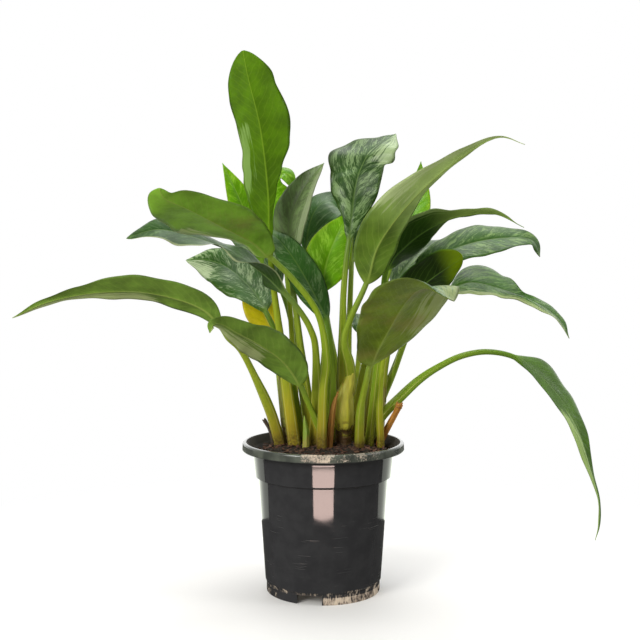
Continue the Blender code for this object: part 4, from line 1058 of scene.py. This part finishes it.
def pot_material():
    material, tree, sockets = new_material("charcoal_plastic")
    x, y, z = parts_of(object_place(tree))
    turn = calc("ARCTAN2", x, y * -1.0)
    around = vector_of(turn * 0.07, 0.0, z)
    mottle = soft_mottle(tree, 60.0)
    colour = blend(mottle, (0.026, 0.026, 0.028), (0.034, 0.034, 0.036))
    # The lip is painted a lighter grey-green than the body, a painted sheen.
    lip = ease(z, LIP_FOOT, LIP_FOOT + 0.001)
    colour = blend(lip, colour, blend(mottle, (0.04, 0.045, 0.038), (0.09, 0.1, 0.08)))
    inside = (z > 0.14) * (calc("SQRT", x * x + y * y) < z * MOUTH_FLARE + MOUTH_START)
    colour = blend(inside, colour, blend(mottle, (0.018, 0.014, 0.009), (0.04, 0.032, 0.02)))

    lines = noise_of(vector_of(turn * 0.2, 0.0, z * 110.0), 9.0)
    scuffs = ease(lines, 0.6, 0.72) * ease(noise_of(around, 34.0, 1.0), 0.45, 0.62)
    scuffs = scuffs * band(z, 0.012, 0.08, 0.02)
    colour = blend(scuffs * 0.07, colour, (0.3, 0.28, 0.25))

    brushed = vector_of(turn * 0.07, 0.0, z * ease(z, 0.02, 0.03, 0.3, 1.0))
    crumbs, clots = noise_of(brushed, 560.0, 5.0, 0.7), noise_of(around, 110.0, 3.0)
    places = 0.0
    for (low, high), (start, end), soft, weight in SCALE_PLACES:
        at = band(z, low, high, 0.002) * band(turn, start, end, soft)
        places = calc("MAXIMUM", places, at * weight)
    limit = 0.76 - places * 0.34
    scale = ease(crumbs * 0.55 + clots * 0.45, limit, limit + 0.15)
    colour = blend(scale * 0.85, colour, blend(clots, (0.55, 0.38, 0.28), (0.8, 0.7, 0.55)))

    rough = ease(mottle, 0.0, 1.0, 0.05, 0.08) + lip * 0.16 + inside * 0.6
    surface(sockets, colour, rough + calc("MAXIMUM", scale, scuffs) * 0.5, scale + crumbs * 0.02,
            0.4, 0.0006)
    return material


CHARCOAL = pot_material()

# %% Turn the pot
POT_SIDES = 192
POT_PROFILE = [  # radius, height, how far the corner is eased
    (55.2, 12.5, 1), (59.4, 14.5, 1), (66.7, 120, 0.6), (70.0, 122.6, 0.6), (72.6, 145.5, 1.5),
    (77, 152, 1.5), (80.6, 157, 1.6), (84.6, 156.6, 1.8), (85, 148.5, 0.6), (83.4, 148.6, 0.5),
    (83.0, 153, 0.8), (79.6, 153, 1.2), (74.2, 146, 1.8), (71.6, 121.2, 0.5), (68.3, 120.2, 0.8),
    (61, 12.2, 0.8), (59.8, 10.5, 0.4), (59.8, 0, 0.4), (56.8, 0, 0.3), (56.8, 10.5, 0.3),
]
POT_AXIS_TOP, POT_AXIS_FOOT = 12.5, 10.5
CORNER_STEPS = 5
HOLD, HOLD_STEP = 1.2, 9.0  # extra rings keep the flat runs truly flat beside the eased corners


def eased(profile):
    """Each corner becomes a short curve that starts and ends at its easing distance."""
    points = [np.array(p[:2], float) for p in profile]
    ends = [np.array([0.0, POT_AXIS_TOP]), *points, np.array([0.0, POT_AXIS_FOOT])]
    reaches = [*(p[2] for p in profile[1:]), 0.0]
    out = []
    rows = zip(ends, points, ends[2:], profile, reaches)
    for before, corner, after, (_, _, reach), next_reach in rows:
        back, onward = unit(before - corner), unit(after - corner)
        start, end = corner + back * reach, corner + onward * reach
        for t in np.linspace(0, 1, CORNER_STEPS):
            out.append(start * (1 - t) ** 2 + corner * 2 * t * (1 - t) + end * t ** 2)
        run = np.linalg.norm(after - corner) - reach - next_reach
        if run > 3 * HOLD:
            count = 2 + round((run - 2 * HOLD) / HOLD_STEP)
            out += [end + onward * length for length in np.linspace(HOLD, run - HOLD, count)]
    return out


NOTCH_ANGLES, NOTCH_SIZE = (-134, -14, 106), (0.026, 0.012, 0.0105)
NOTCH_PLACE = (0, -0.0598, 0.00425)
DRAINS, DRAIN_RADIUS, DRAIN_DEPTH = 8, 0.0045, 0.006
DRAIN_RING, DRAIN_HEIGHT = 0.044, 0.0115
SHARP_ANGLE = 40


def notch(shape, place):
    bmesh.ops.create_cube(shape, size=1, matrix=place @ Matrix.Diagonal((*NOTCH_SIZE, 1)))


def drain(shape, place):
    bmesh.ops.create_cone(shape, cap_ends=True, segments=32, radius1=DRAIN_RADIUS,
                          radius2=DRAIN_RADIUS, depth=DRAIN_DEPTH, matrix=place)


def cutter(name, make, places):
    """A hidden tool that has the same shape at every (turn, place)."""
    shape = bmesh.new()
    for turn, place in places:
        make(shape, Matrix.Rotation(turn, 4, "Z") @ Matrix.Translation(place))
    mesh = bpy.data.meshes.new(name)
    shape.to_mesh(mesh)
    shape.free()
    return new_object(name, mesh)


def pot_piece():
    rows = [[(x, y, height) for x, y in circle(radius, POT_SIDES)]
            for radius, height in eased(POT_PROFILE)]
    pot = add_piece("nursery_pot", rows, ring_faces(len(rows), POT_SIDES), CHARCOAL, ["pot"])
    holes = [(math.tau * n / DRAINS, (0, DRAIN_RING, DRAIN_HEIGHT)) for n in range(DRAINS)]
    tools = [cutter("notches", notch, [(math.radians(a), NOTCH_PLACE) for a in NOTCH_ANGLES]),
             cutter("drains", drain, [*holes, (math.tau, (0, 0, DRAIN_HEIGHT))])]
    for tool in tools:
        cut = pot.modifiers.new(tool.name, "BOOLEAN")
        cut.operation, cut.solver, cut.object = "DIFFERENCE", "EXACT", tool
    ready = pot.evaluated_get(bpy.context.evaluated_depsgraph_get())
    mesh = bpy.data.meshes.new_from_object(ready)
    pot.modifiers.clear()
    pot.data = mesh
    for tool in tools:
        bpy.data.objects.remove(tool)
    mesh.shade_smooth()
    mesh.set_sharp_from_angle(angle=math.radians(SHARP_ANGLE))
    return pot


pot = pot_piece()
print("pot with", len(pot.data.polygons), "faces")

# %% [markdown]
# ## Check the sizes
# The fine pieces follow the imported model's. The script prints how far a leaf or the pot passes its
# node's box, where that is more than 4 mm.

# %% Compare with the imported model
SLACK = 0.004
for piece, name in [*zip(leaf_pieces, ("leaf_" + leaf.name for leaf in LEAVES)), (pot, "pot")]:
    low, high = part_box(name)
    corners = [piece.matrix_world @ Vector(c) for c in piece.bound_box]
    worst = max(max(low[k] - min(c[k] for c in corners), max(c[k] for c in corners) - high[k])
                for k in range(3))
    if worst > SLACK:
        print(f"{name}: {worst * 1000:.1f} mm outside its node's box")
